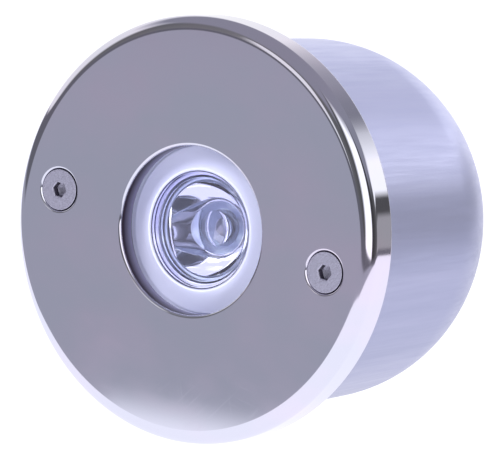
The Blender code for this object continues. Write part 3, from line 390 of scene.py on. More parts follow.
hub_thread = cut_thread(PIPE_PITCH, PIPE_THREAD_DEPTH, HUB_RADIUS,
                        (HUB_FRONT + 0.0006, HUB_FLANGE_FRONT - 0.0004),
                        (HUB_FLANGE_BACK + 0.0006, HUB_BACK - 0.0006))
attach(spin("hub_fitting", hub_outline, 128, thread=hub_thread),
       "conduit_hub", plated_brass, "niche")

# The nut is a hexagon with a round hole, chamfered to the circle inscribed in it at both faces.
nut_front, nut_back = depths("hub_locknut")
nut_outline = np.array([
    (HUB_NUT_HOLE + NUT_CHAMFER, nut_front, 0.0), (HUB_NUT_CORNER * COS_30, nut_front, 0.0),
    (HUB_NUT_CORNER, nut_front + NUT_CHAMFER, 1.0), (HUB_NUT_CORNER, nut_back - NUT_CHAMFER, 1.0),
    (HUB_NUT_CORNER * COS_30, nut_back, 0.0), (HUB_NUT_HOLE + NUT_CHAMFER, nut_back, 0.0),
    (HUB_NUT_HOLE, nut_back - NUT_CHAMFER, 0.0), (HUB_NUT_HOLE, nut_front + NUT_CHAMFER, 0.0)])
attach(spin("hub_nut", nut_outline, 96, sharp_from=20.0),
       "hub_locknut", plated_brass, "niche")

RUBBER = (0.035, 0.035, 0.035)
DUST = (0.084, 0.084, 0.084)


def make_grain():
    """Fine grain: noise at a place, and speckles, which are the same with more contrast."""
    group, scale, result, place = new_group("fine_grain", "Scale", 2500.0, "Grain", "Speckles")
    grain = noise(place, scale, 3.0, 0.6)
    link(grain, result["Grain"])
    link(remap(grain, 0.3, 0.7), result["Speckles"])
    return group


GRAIN = make_grain()


def moulded_rubber():
    """Black moulded rubber: a fine matt grain, and paler dust in its hollows."""
    material, shader, place = new_material("black_rubber", RUBBER, 0.0, 0.62)
    dust = remap(noise(place, 260.0), 0.45, 0.75)
    finish(shader, dust, RUBBER, DUST, use(place, GRAIN, 5000.0)["Grain"], 0.52, 0.74, 0.00001)
    return material


def ring(inner, outer, front, back, inner_fillet, outer_fillet):
    """Outline of a ring of rectangular section with eased edges, or of a disc for inner = 0."""
    return eased([(inner, front, inner_fillet), (outer, front, outer_fillet),
                  (outer, back, outer_fillet), (inner, back, inner_fillet)])


def gasket(node, inner, outer, material, fillet=0.00015, steps=128, squeeze=0.0, body="lamp"):
    """Flat ring that fills a CAD gasket's depth, plus what it is squeezed by into both its seats."""
    front, back = depths(node)
    outline = ring(inner, outer, front - squeeze, back + squeeze, fillet, fillet)
    attach(spin(node + "_rubber", outline, steps), node, material, body)


black_rubber = moulded_rubber()
gasket("hub_washer", HUB_RADIUS + CLEARANCE, HUB_FLANGE_RADIUS, black_rubber, body="niche")


# Faceplate
# Turned from stainless bar and mirror polished, with a large soft rounding at its front edge, two
# countersunk holes and a bevelled opening for the lens. It is polished by hand, so its flat face
# keeps faint hairlines and wiped smudges.

PLATE_FRONT = depths("faceplate")[0]
PLATE_RADIUS = true_radius("faceplate", 48)
PLATE_LAND = 0.0
PLATE_BACK = -0.0003
PLATE_LAND_INNER = 0.0346
PLATE_EDGE = 0.0024
FINE_EDGE = 0.0001
OPENING_RADIUS = 0.0151
OPENING_BEVEL = 0.0005
BORE_REACH = OPENING_RADIUS + 0.0001     # the opening's bore is rougher, as turned, and carries painted shade up to this radius
COVE_TOP = -0.0025                       # depth at which the bezel ring meets the bore
POCKET_RADIUS = 0.0188
POCKET_FRONT = -0.0034
SCREW_PLACE = 0.02915
SCREW_HOLE = 0.0022
SCREW_WINDOW = (0.0245, 0.0338)          # radii between which the face screws' holes lie
SINK_RADIUS = 0.00405
SINK_BOTTOM = PLATE_FRONT + SINK_RADIUS - SCREW_HOLE
BODY_SCREW_PLACE = 0.0228
BODY_SCREW_ANGLES = (90.0, 210.0, 330.0)
BODY_SCREW_HOLE = 0.00145
BODY_SCREW_HOLE_FRONT = -0.0046
BODY_WINDOW = (0.0210, 0.02435)


def across(window, depth, spacing):
    """Corners of a flat at a depth, from a window's inner to its outer radius."""
    return run((window[0], depth), (window[1], depth), spacing)


def around(outline, depth, window, columns):
    """Grid places once round a window: its rows are the outline's at a depth between two radii."""
    on = np.isclose(outline[:, 1], depth, atol=1e-7)
    on &= (outline[:, 0] > window[0] - 1e-7) & (outline[:, 0] < window[1] + 1e-7)
    rows = np.flatnonzero(on)
    rows = rows[np.argsort(outline[rows, 0])]
    row = [np.full(len(columns) - 1, rows[0]), rows[:-1], np.full(len(columns) - 1, rows[-1]), rows[:0:-1]]
    column = [columns[:-1], np.full(len(rows) - 1, columns[-1]), columns[:0:-1],
              np.full(len(rows) - 1, columns[0])]
    return np.concatenate(row), np.concatenate(column)


def spin_drilled(name, outline, steps, holes):
    """Surface of revolution with round holes along Y through its flat faces.

    Like holes are (angles, distance, half width in columns, window radii, front, rings, back). At
    their front and back depth, the quads between the window's radii and columns are left out. In
    their place a grid runs from the window's rim over the rings, which are (radius, depth) about
    the hole's centre at the rim points' own angles, to the other window's rim. A hole whose front
    or back is None ends in its last ring.
    """
    turn = np.linspace(0.0, FULL_TURN, steps, endpoint=False)
    grid = round_axis(outline[:, :1], outline[:, 1:], turn)
    quads = grid_faces(len(outline), steps, round_rows=True)
    keep = np.ones(quads.shape[:2], dtype=bool)
    points, faces, first_free = [grid.reshape(-1, 3)], [], grid.shape[0] * grid.shape[1]
    holes = [(math.radians(angle), *rest) for angles, *rest in holes for angle in angles]
    for angle, distance, half_width, window, front, rings, back in holes:
        middle = round(angle / FULL_TURN * steps)
        columns = np.arange(middle - half_width, middle + half_width + 1) % steps
        centre = distance * np.array([math.cos(angle), math.sin(angle)])
        rims = []
        for face_depth in (front, back):
            if face_depth is not None:
                rim = around(outline, face_depth, window, columns)
                keep[min(rim[0]):max(rim[0]), columns[:-1]] = False
                rims.append(grid[rim])
        spread = rims[0][:, [0, 2]] - centre
        way = spread / np.linalg.norm(spread, axis=1, keepdims=True)
        tube = [np.insert(centre + radius * way, 1, depth, axis=1) for radius, depth in rings]
        tube = (rims[:1] if front is not None else []) + tube + (rims[-1:] if back is not None else [])
        faces.append(first_free + grid_faces(len(tube), len(way)).reshape(-1, 4))
        points.append(np.concatenate(tube))
        first_free += len(tube) * len(way)
    return finish_mesh(name, np.concatenate(points), np.concatenate([quads[keep], *faces]).tolist())


def polished_steel():
    """Mirror-polished steel: sparse hairlines in three directions, wiped smudges, and a bore that is rougher
    as turned and carries painted shade, darkest towards the front.
    """
    material, shader, place = new_material("polished_steel", (0.70, 0.695, 0.80), 1.0, 0.05)
    hairlines = 0.0
    for turn_by in (0.35, 1.45, 2.5):
        turned = put("ShaderNodeVectorRotate", place, None, (0.0, 1.0, 0.0), turn_by)
        lines = noise(vector("MULTIPLY", turned, (9000.0, 40.0, 34.0)), 1.0, 1.0)
        hairlines = calculate("MAXIMUM", hairlines, remap(lines, 0.66, 0.80))
    hairlines = calculate("MULTIPLY", hairlines, remap(noise(place, 150.0), 0.40, 0.65))
    smudges = noise(vector("MULTIPLY", place, (1.0, 1.0, 1.6)), 42.0, 3.0, 0.55)
    smudges = remap(smudges, 0.40, 0.68)
    tone = mix_colours(smudges, (0.68, 0.685, 0.79), (0.74, 0.685, 0.81))
    radius, depth = from_axis(place), along(place, "Y")
    bore = calculate("MULTIPLY", remap(radius, BORE_REACH, OPENING_RADIUS + 0.00002),
                     remap(depth, PLATE_FRONT + 0.0003, PLATE_FRONT + OPENING_BEVEL))
    # Painted shade on the bore: near black at the front of the opening, lightening to grey towards the cove.
    turned = mix_colours(remap(depth, PLATE_FRONT + 2.0 * OPENING_BEVEL, COVE_TOP),
                         (0.04, 0.025, 0.035), (0.50, 0.48, 0.60))
    link(mix_colours(bore, tone, turned), shader.inputs["Base Color"])
    wear = calculate("MULTIPLY_ADD", smudges, 0.035, 0.04)
    wear = calculate("MULTIPLY_ADD", hairlines, 0.05, wear)
    link(calculate("MULTIPLY_ADD", bore, 0.30, wear), shader.inputs["Roughness"])
    relief(shader, calculate("SUBTRACT", 1.0, hairlines), 0.00000012)
    return material


plate_outline = eased([
    (OPENING_RADIUS, PLATE_FRONT, OPENING_BEVEL), *across(SCREW_WINDOW, PLATE_FRONT, 0.00036),
    (PLATE_RADIUS, PLATE_FRONT, PLATE_EDGE), (PLATE_RADIUS, PLATE_LAND, SOFT_EDGE),
    (PLATE_LAND_INNER, PLATE_LAND, FINE_EDGE), (PLATE_LAND_INNER, PLATE_BACK, 0.0),
    *across(SCREW_WINDOW[::-1], PLATE_BACK, 0.00036), *across(BODY_WINDOW[::-1], PLATE_BACK, 0.00030),
    (POCKET_RADIUS, PLATE_BACK, EDGE), (POCKET_RADIUS, POCKET_FRONT, EDGE),
    (OPENING_RADIUS, POCKET_FRONT, EDGE),
])
sink_rings = eased([
    (SINK_RADIUS + 0.0005, PLATE_FRONT, 0.0), (SINK_RADIUS, PLATE_FRONT, 0.00035),
    (SCREW_HOLE, SINK_BOTTOM, EDGE), (SCREW_HOLE, PLATE_BACK, EDGE), (SINK_RADIUS, PLATE_BACK, 0.0)])
blind_rings = [(0.0, BODY_SCREW_HOLE_FRONT), (BODY_SCREW_HOLE, BODY_SCREW_HOLE_FRONT),
               (BODY_SCREW_HOLE, PLATE_BACK)]
polished_plate = spin_drilled("polished_plate", plate_outline, 384, [
    ((0.0, 180.0), SCREW_PLACE, 12, SCREW_WINDOW, PLATE_FRONT, sink_rings, PLATE_BACK),
    (BODY_SCREW_ANGLES, BODY_SCREW_PLACE, 6, BODY_WINDOW, None, blind_rings, PLATE_BACK)])
attach(polished_plate, "faceplate", polished_steel())


# Face screws
# Two M4 countersunk machine screws of stainless steel with a 2.5 mm hexagon socket. Their heads are
# blasted matt. A clip behind the plate keeps each one in its hole when the lamp is out.

SCREW_TOP, SCREW_TIP = depths("left_screw")
SCREW_HEAD = 0.00365
SCREW_SHANK = 0.0020
SCREW_RIM = 0.0001
SCREW_PITCH = 0.0007
SCREW_THREAD_DEPTH = 0.00028
SOCKET_CORNER = 0.0025 / 2.0 / COS_30
SOCKET_FLOOR = SCREW_TOP + 0.0016
SOCKET_CHAMFER = 0.00012
CLIP_RADIUS = 0.0031


def blasted_steel():
    """Bead-blasted steel: a fine even speckle of pits; a screw's socket is smoother, and painted shade makes
    it dark.
    """
    material, shader, place = new_material("blasted_steel", (0.60, 0.60, 0.72), 0.8, 0.42)
    pits = noise(place, 7000.0, 2.0, 0.7)
    head = mix_colours(remap(pits, 0.35, 0.65), (0.33, 0.32, 0.41), (0.54, 0.53, 0.66))
    beside = vector("SUBTRACT", vector("ABSOLUTE", place), (SCREW_PLACE, 0.0, 0.0))
    radius, depth = from_axis(beside), along(place, "Y")
    inside = calculate("MULTIPLY", remap(radius, SOCKET_CORNER + 0.0001, SOCKET_CORNER),
                       remap(depth, SCREW_TOP + 0.00005, SCREW_TOP + 0.0005))
    inside = calculate("MULTIPLY", inside,
                       remap(depth, SOCKET_FLOOR - 0.0002, SOCKET_FLOOR - 0.0001, 1.0, 0.0))
    # Painted shade: the inside of the socket is near black.
    link(mix_colours(inside, head, (0.10, 0.09, 0.12)), shader.inputs["Base Color"])
    gloss = remap(noise(place, 3200.0), 0.3, 0.7, 0.34, 0.50)
    link(calculate("MULTIPLY_ADD", inside, -0.22, gloss), shader.inputs["Roughness"])
    relief(shader, pits, 0.00003)
    return material


def then_round(hexagonal, outline):
    """(radius, depth, six) rows, and a round outline after them."""
    return np.concatenate([hexagonal, np.pad(outline, ((0, 0), (0, 1)))])


screw_steel = blasted_steel()
cone_end = SCREW_TOP + SCREW_RIM + SCREW_HEAD - SCREW_SHANK
socket = [
    (0.0, SOCKET_FLOOR + 0.0005, 0.0), (SOCKET_CORNER * 0.85, SOCKET_FLOOR, 0.6),
    (SOCKET_CORNER, SOCKET_FLOOR - 0.00008, 1.0), (SOCKET_CORNER, SCREW_TOP + SOCKET_CHAMFER, 1.0),
    (SOCKET_CORNER + SOCKET_CHAMFER, SCREW_TOP, 0.6), (SOCKET_CORNER + 2.0 * SOCKET_CHAMFER, SCREW_TOP, 0.0)]
screw_outline = then_round(socket, eased([
    (0.0020, SCREW_TOP, 0.0), (SCREW_HEAD, SCREW_TOP, 0.00008), (SCREW_HEAD, SCREW_TOP + SCREW_RIM, 0.00003),
    (SCREW_SHANK, cone_end, SOFT_EDGE),
    *run((SCREW_SHANK, cone_end + 0.0006), (SCREW_SHANK, SCREW_TIP - 0.0007), THREAD_ROW),
    (SCREW_SHANK, SCREW_TIP - 0.0006, 0.0), (0.0014, SCREW_TIP, EDGE), (0.0, SCREW_TIP, 0.0)]))
screw_thread = cut_thread(SCREW_PITCH, SCREW_THREAD_DEPTH, SCREW_SHANK,
                          (cone_end + 0.0008, SCREW_TIP - 0.0002))
clip_outline = ring(SCREW_HOLE, CLIP_RADIUS, *depths("left_screw_clip"), FINE_EDGE, EDGE)
for middle, node in ((-SCREW_PLACE, "left_screw"), (SCREW_PLACE, "right_screw")):
    screw = spin(node + "_turned", screw_outline, 96, (middle, 0.0), screw_thread, 25.0)
    attach(screw, node, screw_steel, node + "_body")
    clip = spin(node + "_ring", clip_outline, 64, (middle, 0.0))
    attach(clip, node + "_clip", screw_steel, node + "_body")


# Bezel ring
# Satin stainless ring held behind the plate. It rises from the edge of the opening in a hollow
# cove to a fine bright lip round the window, and a ledge in its bore carries the glass.

LIP_FRONT, BEZEL_BACK = depths("bezel_ring")
LIP_RADIUS = 0.01105
BEZEL_BORE = 0.0105
BEZEL_FLANGE = true_radius("bezel_ring")
BEZEL_FLANGE_FRONT = -0.0022
BEZEL_NECK = 0.0125
LEDGE_BORE = 0.0097
LEDGE_FRONT = depths("window_gasket")[1] + CLEARANCE
COVE_START = np.array([0.01145, -0.0039, 0.0])
COVE_END = np.array([0.01498, COVE_TOP, 0.0])
COVE_SAG = 0.00022


def satin_metal():
    """Satin steel: pale and soft on the cove, and bare metal in the bore that holds the glass."""
    material, shader, place = new_material("satin_steel", (0.74, 0.77, 1.0), 0.12, 0.44)
    marks = use(place, TURNING, 5200.0)
    finish(shader, marks["Clouds"], (0.71, 0.74, 1.0), (0.77, 0.79, 1.0), marks["Lines"], 0.40, 0.48)
    bare = remap(from_axis(place), BEZEL_BORE + 0.0001, BEZEL_BORE + 0.0003, 1.0, 0.12)
    link(bare, shader.inputs["Metallic"])
    return material


# The cove is the straight line from its start to its end, pushed back by sag 4 s (1 - s).
share = np.linspace(0.0, 1.0, 14)[:, None]
cove = COVE_START * (1.0 - share) + COVE_END * share
cove[:, 1:2] += COVE_SAG * 4.0 * share * (1.0 - share)
bezel_outline = eased([
    (BEZEL_BORE, LIP_FRONT, EDGE), (LIP_RADIUS, LIP_FRONT, EDGE), *cove,
    (COVE_END[0], BEZEL_FLANGE_FRONT, 0.0), (BEZEL_FLANGE, BEZEL_FLANGE_FRONT, EDGE),
    (BEZEL_FLANGE, PLATE_BACK, EDGE), (BEZEL_NECK, PLATE_BACK, FINE_EDGE),
    (BEZEL_NECK, BEZEL_BACK, EDGE), (LEDGE_BORE, BEZEL_BACK, FINE_EDGE),
    (LEDGE_BORE, LEDGE_FRONT, FINE_EDGE), (BEZEL_BORE, LEDGE_FRONT, FINE_EDGE),
])
attach(spin("satin_bezel", bezel_outline, 256), "bezel_ring", satin_metal())
gasket("bezel_gasket", 0.0157, BEZEL_FLANGE, black_rubber)


# Window
# Flat borosilicate glass, seated in the bezel's bore on a gasket that is faced with bright foil.

GLASS_RADIUS = 0.0104


def clear(name, colour, smooth, index, scale, spread, rough, *tones):
    """Clear solid with a gloss, and the least bit of colour, that follow dust, flow or haze."""
    material, shader, place = new_material(name, colour, 0.0, smooth, IOR=index, Transmission_Weight=1.0)
    haze = remap(noise(place, *scale), *spread)
    link(remap(haze, 0.0, 1.0, 0.0, rough), shader.inputs["Roughness"])
    if tones:
        link(mix_colours(haze, *tones), shader.inputs["Base Color"])
    return material


window_pane = spin("window_pane", ring(0.0, GLASS_RADIUS, *depths("window_glass"), 0.0, 0.00015))
attach(window_pane, "window_glass",
       clear("window_glass", (0.985, 0.985, 1.0), 0.0, 1.47, (900.0, 4.0, 0.7), (0.55, 0.85), 0.03,
             (0.985, 0.985, 1.0), (0.95, 0.95, 0.97)))
gasket("window_gasket", LEDGE_BORE, GLASS_RADIUS,
       turned_metal("foil_gasket", (0.72, 0.74, 0.96), (0.82, 0.84, 1.0), 0.30, 0.42), squeeze=0.00025)


# Collimator lens
# Moulded clear acrylic. Its flared side throws the light forwards, and the cavity in its base stands
# over the LED. It is held by its flange in a bright cup.

LENS_FRONT, LENS_BASE = depths("collimator_lens")
LENS_FLANGE = true_radius("collimator_lens")
LENS_SHOULDER = LENS_FRONT + 0.0012
LENS_TOP_RADIUS = 0.0084
LENS_BASE_RADIUS = 0.0043
LENS_FLARE = 1.7
CAVITY_MOUTH = 0.0034
CAVITY_TOP = 0.0031
CAVITY_FLOOR = LENS_BASE - 0.0040
CAVITY_CROWN = 0.0008


def lens_outline():
    """Front face, flange, flared side, base and crowned cavity, from axis to axis.

    On the flare the radius goes from the base's to the top's by (1 - s) to the power 1 / flare,
    where s is the share of the way back. The cavity's floor is a parabola.
    """
    rim = eased([(0.0, LENS_FRONT, 0.0), (LENS_FLANGE, LENS_FRONT, 0.00015),
                 (LENS_FLANGE, LENS_SHOULDER, FINE_EDGE), (LENS_TOP_RADIUS, LENS_SHOULDER, 0.0)])
    share = np.linspace(0.0, 1.0, 48)[1:] ** 0.8
    radius = LENS_BASE_RADIUS + (LENS_TOP_RADIUS - LENS_BASE_RADIUS) * (1.0 - share) ** (1.0 / LENS_FLARE)
    flare = np.stack([radius, LENS_SHOULDER + (LENS_BASE - LENS_SHOULDER) * share], axis=1)
    share = np.linspace(1.0, 0.0, 20)
    cavity = np.stack([CAVITY_TOP * share, CAVITY_FLOOR + CAVITY_CROWN * (1.0 - share ** 2)], axis=1)
    return np.concatenate([rim, flare, [(CAVITY_MOUTH, LENS_BASE)], cavity])


attach(spin("acrylic_lens", lens_outline(), sharp_from=30.0), "collimator_lens",
       clear("clear_acrylic", (0.93, 0.955, 1.0), 0.01, 1.49, (320.0, 2.0, 0.5), (0.0, 1.0), 0.04,
             (0.92, 0.945, 1.0), (0.95, 0.965, 1.0)))


# Lens holder
# Moulded cup on the LED board, which carries the lens by its flange. It has a bright metallised
# finish, because light that falls through the lens onto a dull cup would be lost.

HOLDER_WALL = 0.00065
HOLDER_BASE_BORE = 0.0051
HOLDER_BASE = 0.0006


def metallised_plastic():
    """Metallised plastic: a fine moulded grain in its gloss, and a slight unevenness of tone."""
    material, shader, place = new_material("metallised_plastic", (0.80, 0.84, 0.97), 1.0, 0.2)
    finish(shader, noise(place, 120.0), (0.83, 0.90, 1.0), (0.87, 0.94, 1.0),
           use(place, GRAIN, 2600.0)["Grain"], 0.30, 0.38)
    return material


holder_front, holder_back = depths("lens_holder")
holder_outline = eased([
    (LENS_FLANGE - HOLDER_WALL, holder_front, 0.00015), (LENS_FLANGE, holder_front, 0.00015),
    (LENS_FLANGE, holder_back, SOFT_EDGE), (HOLDER_BASE_BORE, holder_back, FINE_EDGE),
    (HOLDER_BASE_BORE, holder_back - HOLDER_BASE, EDGE),
    (LENS_FLANGE - HOLDER_WALL, holder_back - HOLDER_BASE, 0.0004)])
attach(spin("lens_cup", holder_outline, 128), "lens_holder", metallised_plastic())


# LED
# A ceramic package with four pale dies under a clear silicone dome, soldered to a round slate grey
# board on a metal core.

LED_FRONT = depths("led_package")[0]
DOME_TOP, DOME_BASE = depths("led_dome")
DIE_SIZE = 0.00092
DIE_PITCH = 0.00108
DIE_FRONT = LED_FRONT - 0.00012
DIE_EDGE = 0.00003


def speckled(name, dark, light, scale, smooth, rough, metallic=0.0):
    """Matt solid whose colour, gloss and relief follow a fine noise."""
    material, shader, place = new_material(name, light, metallic, smooth)
    grain = use(place, GRAIN, scale)
    finish(shader, grain["Speckles"], dark, light, grain["Grain"], smooth, rough, 0.00001)
    return material


def four_dies():
    """Flat square tiles in a square, as rings of |x|^10 + |z|^10 = 1 from back to front."""
    turn = np.linspace(0.0, FULL_TURN, 24, endpoint=False)
    square = 1.0 / (np.abs(np.cos(turn)) ** 10 + np.abs(np.sin(turn)) ** 10) ** 0.1
    half = DIE_SIZE / 2.0
    rings = np.array([(0.0, LED_FRONT), (half, LED_FRONT), (half, DIE_FRONT + DIE_EDGE),
                      (half - DIE_EDGE, DIE_FRONT), (0.0, DIE_FRONT)])
    reach = rings[:, :1] * square
    tile = round_axis(reach, rings[:, 1:], turn)
    middles = np.array([(x, 0.0, z) for x in (-0.5, 0.5) for z in (-0.5, 0.5)]) * DIE_PITCH
    faces = np.arange(4)[:, None, None] * reach.size + grid_faces(*reach.shape).reshape(-1, 4)
    return finish_mesh("led_dies", tile + middles[:, None, None], faces.reshape(-1, 4).tolist())


dies = four_dies()
dies.data.materials.append(
    speckled("phosphor", (0.94, 0.90, 0.92), (1.0, 0.97, 0.98), 9000.0, 0.4, 0.6, 0.9))
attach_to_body(dies, "lamp")
angle = np.radians(np.linspace(0.0, 90.0, 20))[:, None]
dome_reach = DOME_BASE - DOME_TOP
dome_outline = np.concatenate([
    np.hstack([dome_reach * np.sin(angle), DOME_BASE - dome_reach * np.cos(angle)]), [(0.0, DOME_BASE)]])
attach(spin("silicone_dome", dome_outline, 64), "led_dome",
       clear("clear_silicone", (0.97, 0.975, 0.98), 0.02, 1.41, (1500.0,), (0.0, 1.0), 0.06))
dress(speckled("pale_ceramic", (0.68, 0.70, 0.78), (0.78, 0.80, 0.88), 6000.0, 0.35, 0.50, 0.6),
      "led_package")
dress(speckled("slate_board", (0.30, 0.36, 0.46), (0.38, 0.44, 0.55), 2200.0, 0.25, 0.35, 0.7),
      "led_board")
dress(screw_steel, "board_screw_1", "board_screw_2")


# Heat path
# A soft grey thermal pad and a turned aluminium slug, which carry the LED's heat to the body.

turned_aluminium = turned_metal("turned_aluminium", (0.64, 0.65, 0.67), (0.74, 0.75, 0.77), 0.26, 0.40,
                                1800.0, 0.00001)
dress(speckled("thermal_pad", (0.36, 0.39, 0.46), (0.46, 0.49, 0.56), 3500.0, 0.7, 0.85), "thermal_pad")
dress(turned_aluminium, "heat_slug")


# Lamp body
# Turned aluminium tube with a flange that is screwed to the back of the faceplate on an O-ring. It
# seals the lens, the LED and the driver in.

BODY_FRONT, BODY_END = depths("lamp_body")
BODY_FLANGE = true_radius("lamp_body")
BODY_FLANGE_BACK = BODY_FRONT + 0.0025
BODY_RADIUS = 0.0200
BODY_BORE = 0.0180
BODY_LIP = 0.0165
SEAL_PLACE = 0.0199
SEAL_GROOVE = 0.0010
SEAL_SECTION = 0.0007
GROOVE_FLOOR = BODY_FRONT + 0.0014
PAN_SHANK = 0.00125
PAN_HEAD = 0.0021
PAN_UNDER = BODY_FLANGE_BACK + CLEARANCE
PAN_TOP = PAN_UNDER + 0.0016
PAN_SOCKET = 0.00115
PAN_SOCKET_FLOOR = PAN_TOP - 0.0008

body_outline = eased([
    (BODY_LIP, BODY_FRONT, EDGE), (SEAL_PLACE - SEAL_GROOVE, BODY_FRONT, FINE_EDGE),
    (SEAL_PLACE - SEAL_GROOVE, GROOVE_FLOOR, SOFT_EDGE), (SEAL_PLACE + SEAL_GROOVE, GROOVE_FLOOR, SOFT_EDGE),
    (SEAL_PLACE + SEAL_GROOVE, BODY_FRONT, 0.0), *across(BODY_WINDOW, BODY_FRONT, 0.00030),
    (BODY_FLANGE, BODY_FRONT, SOFT_EDGE), (BODY_FLANGE, BODY_FLANGE_BACK, 0.0004),
    *across(BODY_WINDOW[::-1], BODY_FLANGE_BACK, 0.00030),
    (BODY_RADIUS, BODY_FLANGE_BACK, 0.0006), (BODY_RADIUS, BODY_END, SOFT_EDGE),
    (BODY_BORE, BODY_END, EDGE), (BODY_BORE, BODY_FLANGE_BACK, SOFT_EDGE),
    (BODY_LIP, BODY_FLANGE_BACK, EDGE),
])
body_rings = [(BODY_SCREW_HOLE, BODY_FRONT), (BODY_SCREW_HOLE, BODY_FLANGE_BACK)]
turned_body = spin_drilled("turned_body", body_outline, 240, [
    (BODY_SCREW_ANGLES, BODY_SCREW_PLACE, 4, BODY_WINDOW, BODY_FRONT, body_rings, BODY_FLANGE_BACK)])
attach(turned_body, "lamp_body", turned_aluminium)

turn = np.linspace(0.0, FULL_TURN, 24, endpoint=False)[:, None]
seal_middle = sum(depths("body_seal")) / 2.0
seal_outline = np.hstack([SEAL_PLACE + SEAL_SECTION * np.cos(turn),
                          seal_middle + SEAL_SECTION * 0.97 * np.sin(turn)])
attach(spin("o_ring", seal_outline), "body_seal", black_rubber)

# Pan-head screws with a hexagon socket: their heads face back and their threads run forwards.
pan_socket = [(0.0, PAN_SOCKET_FLOOR - 0.0002, 0.0), (PAN_SOCKET, PAN_SOCKET_FLOOR, 1.0),
              (PAN_SOCKET, PAN_TOP - 0.0001, 1.0), (PAN_SOCKET + 0.0001, PAN_TOP, 0.6),
              (PAN_SOCKET + 0.0002, PAN_TOP, 0.0)]
for number, angle in enumerate(BODY_SCREW_ANGLES, start=1):
    tip = depths(f"body_screw_{number}")[0]
    angle = math.radians(angle)
    place = (BODY_SCREW_PLACE * math.cos(angle), BODY_SCREW_PLACE * math.sin(angle))
    outline = then_round(pan_socket, eased([
        (PAN_SOCKET + 0.0003, PAN_TOP, 0.0), (PAN_HEAD, PAN_TOP, 0.0008), (PAN_HEAD, PAN_UNDER, FINE_EDGE),
        (PAN_SHANK, PAN_UNDER, 0.0), (PAN_SHANK, tip + 0.0004, 0.0), (0.0007, tip, 0.0), (0.0, tip, 0.0)]))
    attach(spin(f"pan_screw_{number}", outline, 60, place, sharp_from=25.0), f"body_screw_{number}",
           screw_steel)


# Driver
# Green round board on three brass posts inside the body, with its coil, capacitor, chip and
# terminal block, and the two insulated leads that bring the current to the LED.


def winding():
    """Enamelled copper wire wound along Y: raised crowns, and gaps between turns darkened with painted
    shade, one turn each 0.18 mm.
    """
    material, shader, place = new_material("copper_winding", (0.72, 0.38, 0.22), 1.0, 0.3)
    turns = calculate("MULTIPLY", along(place, "Y"), FULL_TURN / 0.00018)
    crown = remap(calculate("SINE", turns), -1.0, 1.0)
    # Painted shade: the colour darkens from the crown of each turn into the gap beside it.
    finish(shader, crown, (0.42, 0.19, 0.10), (0.76, 0.42, 0.25), crown, 0.42, 0.26, 0.00004)
    return material


dress(plated_brass, "driver_post_1", "driver_post_2", "driver_post_3")
dress(screw_steel, "driver_screw_1", "driver_screw_2", "driver_screw_3")
dress(winding(), "driver_coil")
dress(turned_aluminium, "driver_capacitor")
for node, name, dark, light, scale, smooth, rough in (
        ("driver_board", "green_board", (0.03, 0.20, 0.09), (0.06, 0.30, 0.14), 1500.0, 0.32, 0.46),
        ("driver_chip", "black_epoxy", (0.02, 0.02, 0.02), (0.05, 0.05, 0.05), 7000.0, 0.40, 0.55),
        ("terminal_block", "green_nylon", (0.05, 0.28, 0.17), (0.09, 0.38, 0.24), 3000.0, 0.38, 0.50),
        ("led_lead_red", "red_insulation", (0.50, 0.03, 0.03), (0.64, 0.06, 0.05), 2600.0, 0.42, 0.56),
        ("led_lead_black", "black_insulation", (0.02, 0.02, 0.02), (0.05, 0.05, 0.05), 2600.0, 0.42, 0.56)):
    dress(speckled(name, dark, light, scale, smooth, rough), node)


# Rear cap
# Turned aluminium cap, screwed into the body's tube on a flat gasket. The cable gland sits in it.

CAP_FRONT, CAP_BACK = depths("rear_cap")
CAP_FLANGE_FRONT = CAP_BACK - 0.0025
CAP_HOLE = 0.0063
CAP_PLUG = 0.0177

cap_outline = eased([
    (CAP_HOLE, CAP_FRONT, EDGE), (CAP_PLUG, CAP_FRONT, 0.0004), (CAP_PLUG, CAP_FLANGE_FRONT, 0.0),
    (BODY_RADIUS, CAP_FLANGE_FRONT, EDGE), (BODY_RADIUS, CAP_BACK, 0.0005), (CAP_HOLE, CAP_BACK, EDGE)])
attach(spin("turned_cap", cap_outline), "rear_cap", turned_aluminium)
gasket("rear_cap_gasket", BODY_BORE, BODY_RADIUS, black_rubber)


# Cable gland
# Nickel-plated brass gland through the rear cap: a threaded body with a hexagon, a rubber seal and
# a domed nut that squeezes it round the cable, and a locknut inside the cap.

GLAND_FRONT, GLAND_BACK = depths("gland_body")
GLAND_RADIUS = 0.0060
GLAND_LEAD_IN = GLAND_RADIUS - 0.0003
GLAND_BORE = 0.0037
GLAND_SEAT = 0.0049
GLAND_HEX = 0.0080
GLAND_HEX_FRONT = CAP_BACK + CLEARANCE
GLAND_HEX_BACK = GLAND_HEX_FRONT + 0.0035
GLAND_NUT_FRONT, GLAND_NUT_BACK = depths("gland_nut")
GLAND_NUT_RADIUS = 0.0078
GLAND_NUT_BORE = 0.0063
GLAND_NUT_WALL = GLAND_NUT_BACK - 0.0019
GLAND_NUT_HEX_BACK = GLAND_NUT_FRONT + 0.0040
HEX_FLATS = 0.866            # of a hexagon's corner radius
CABLE_RADIUS = 0.0035

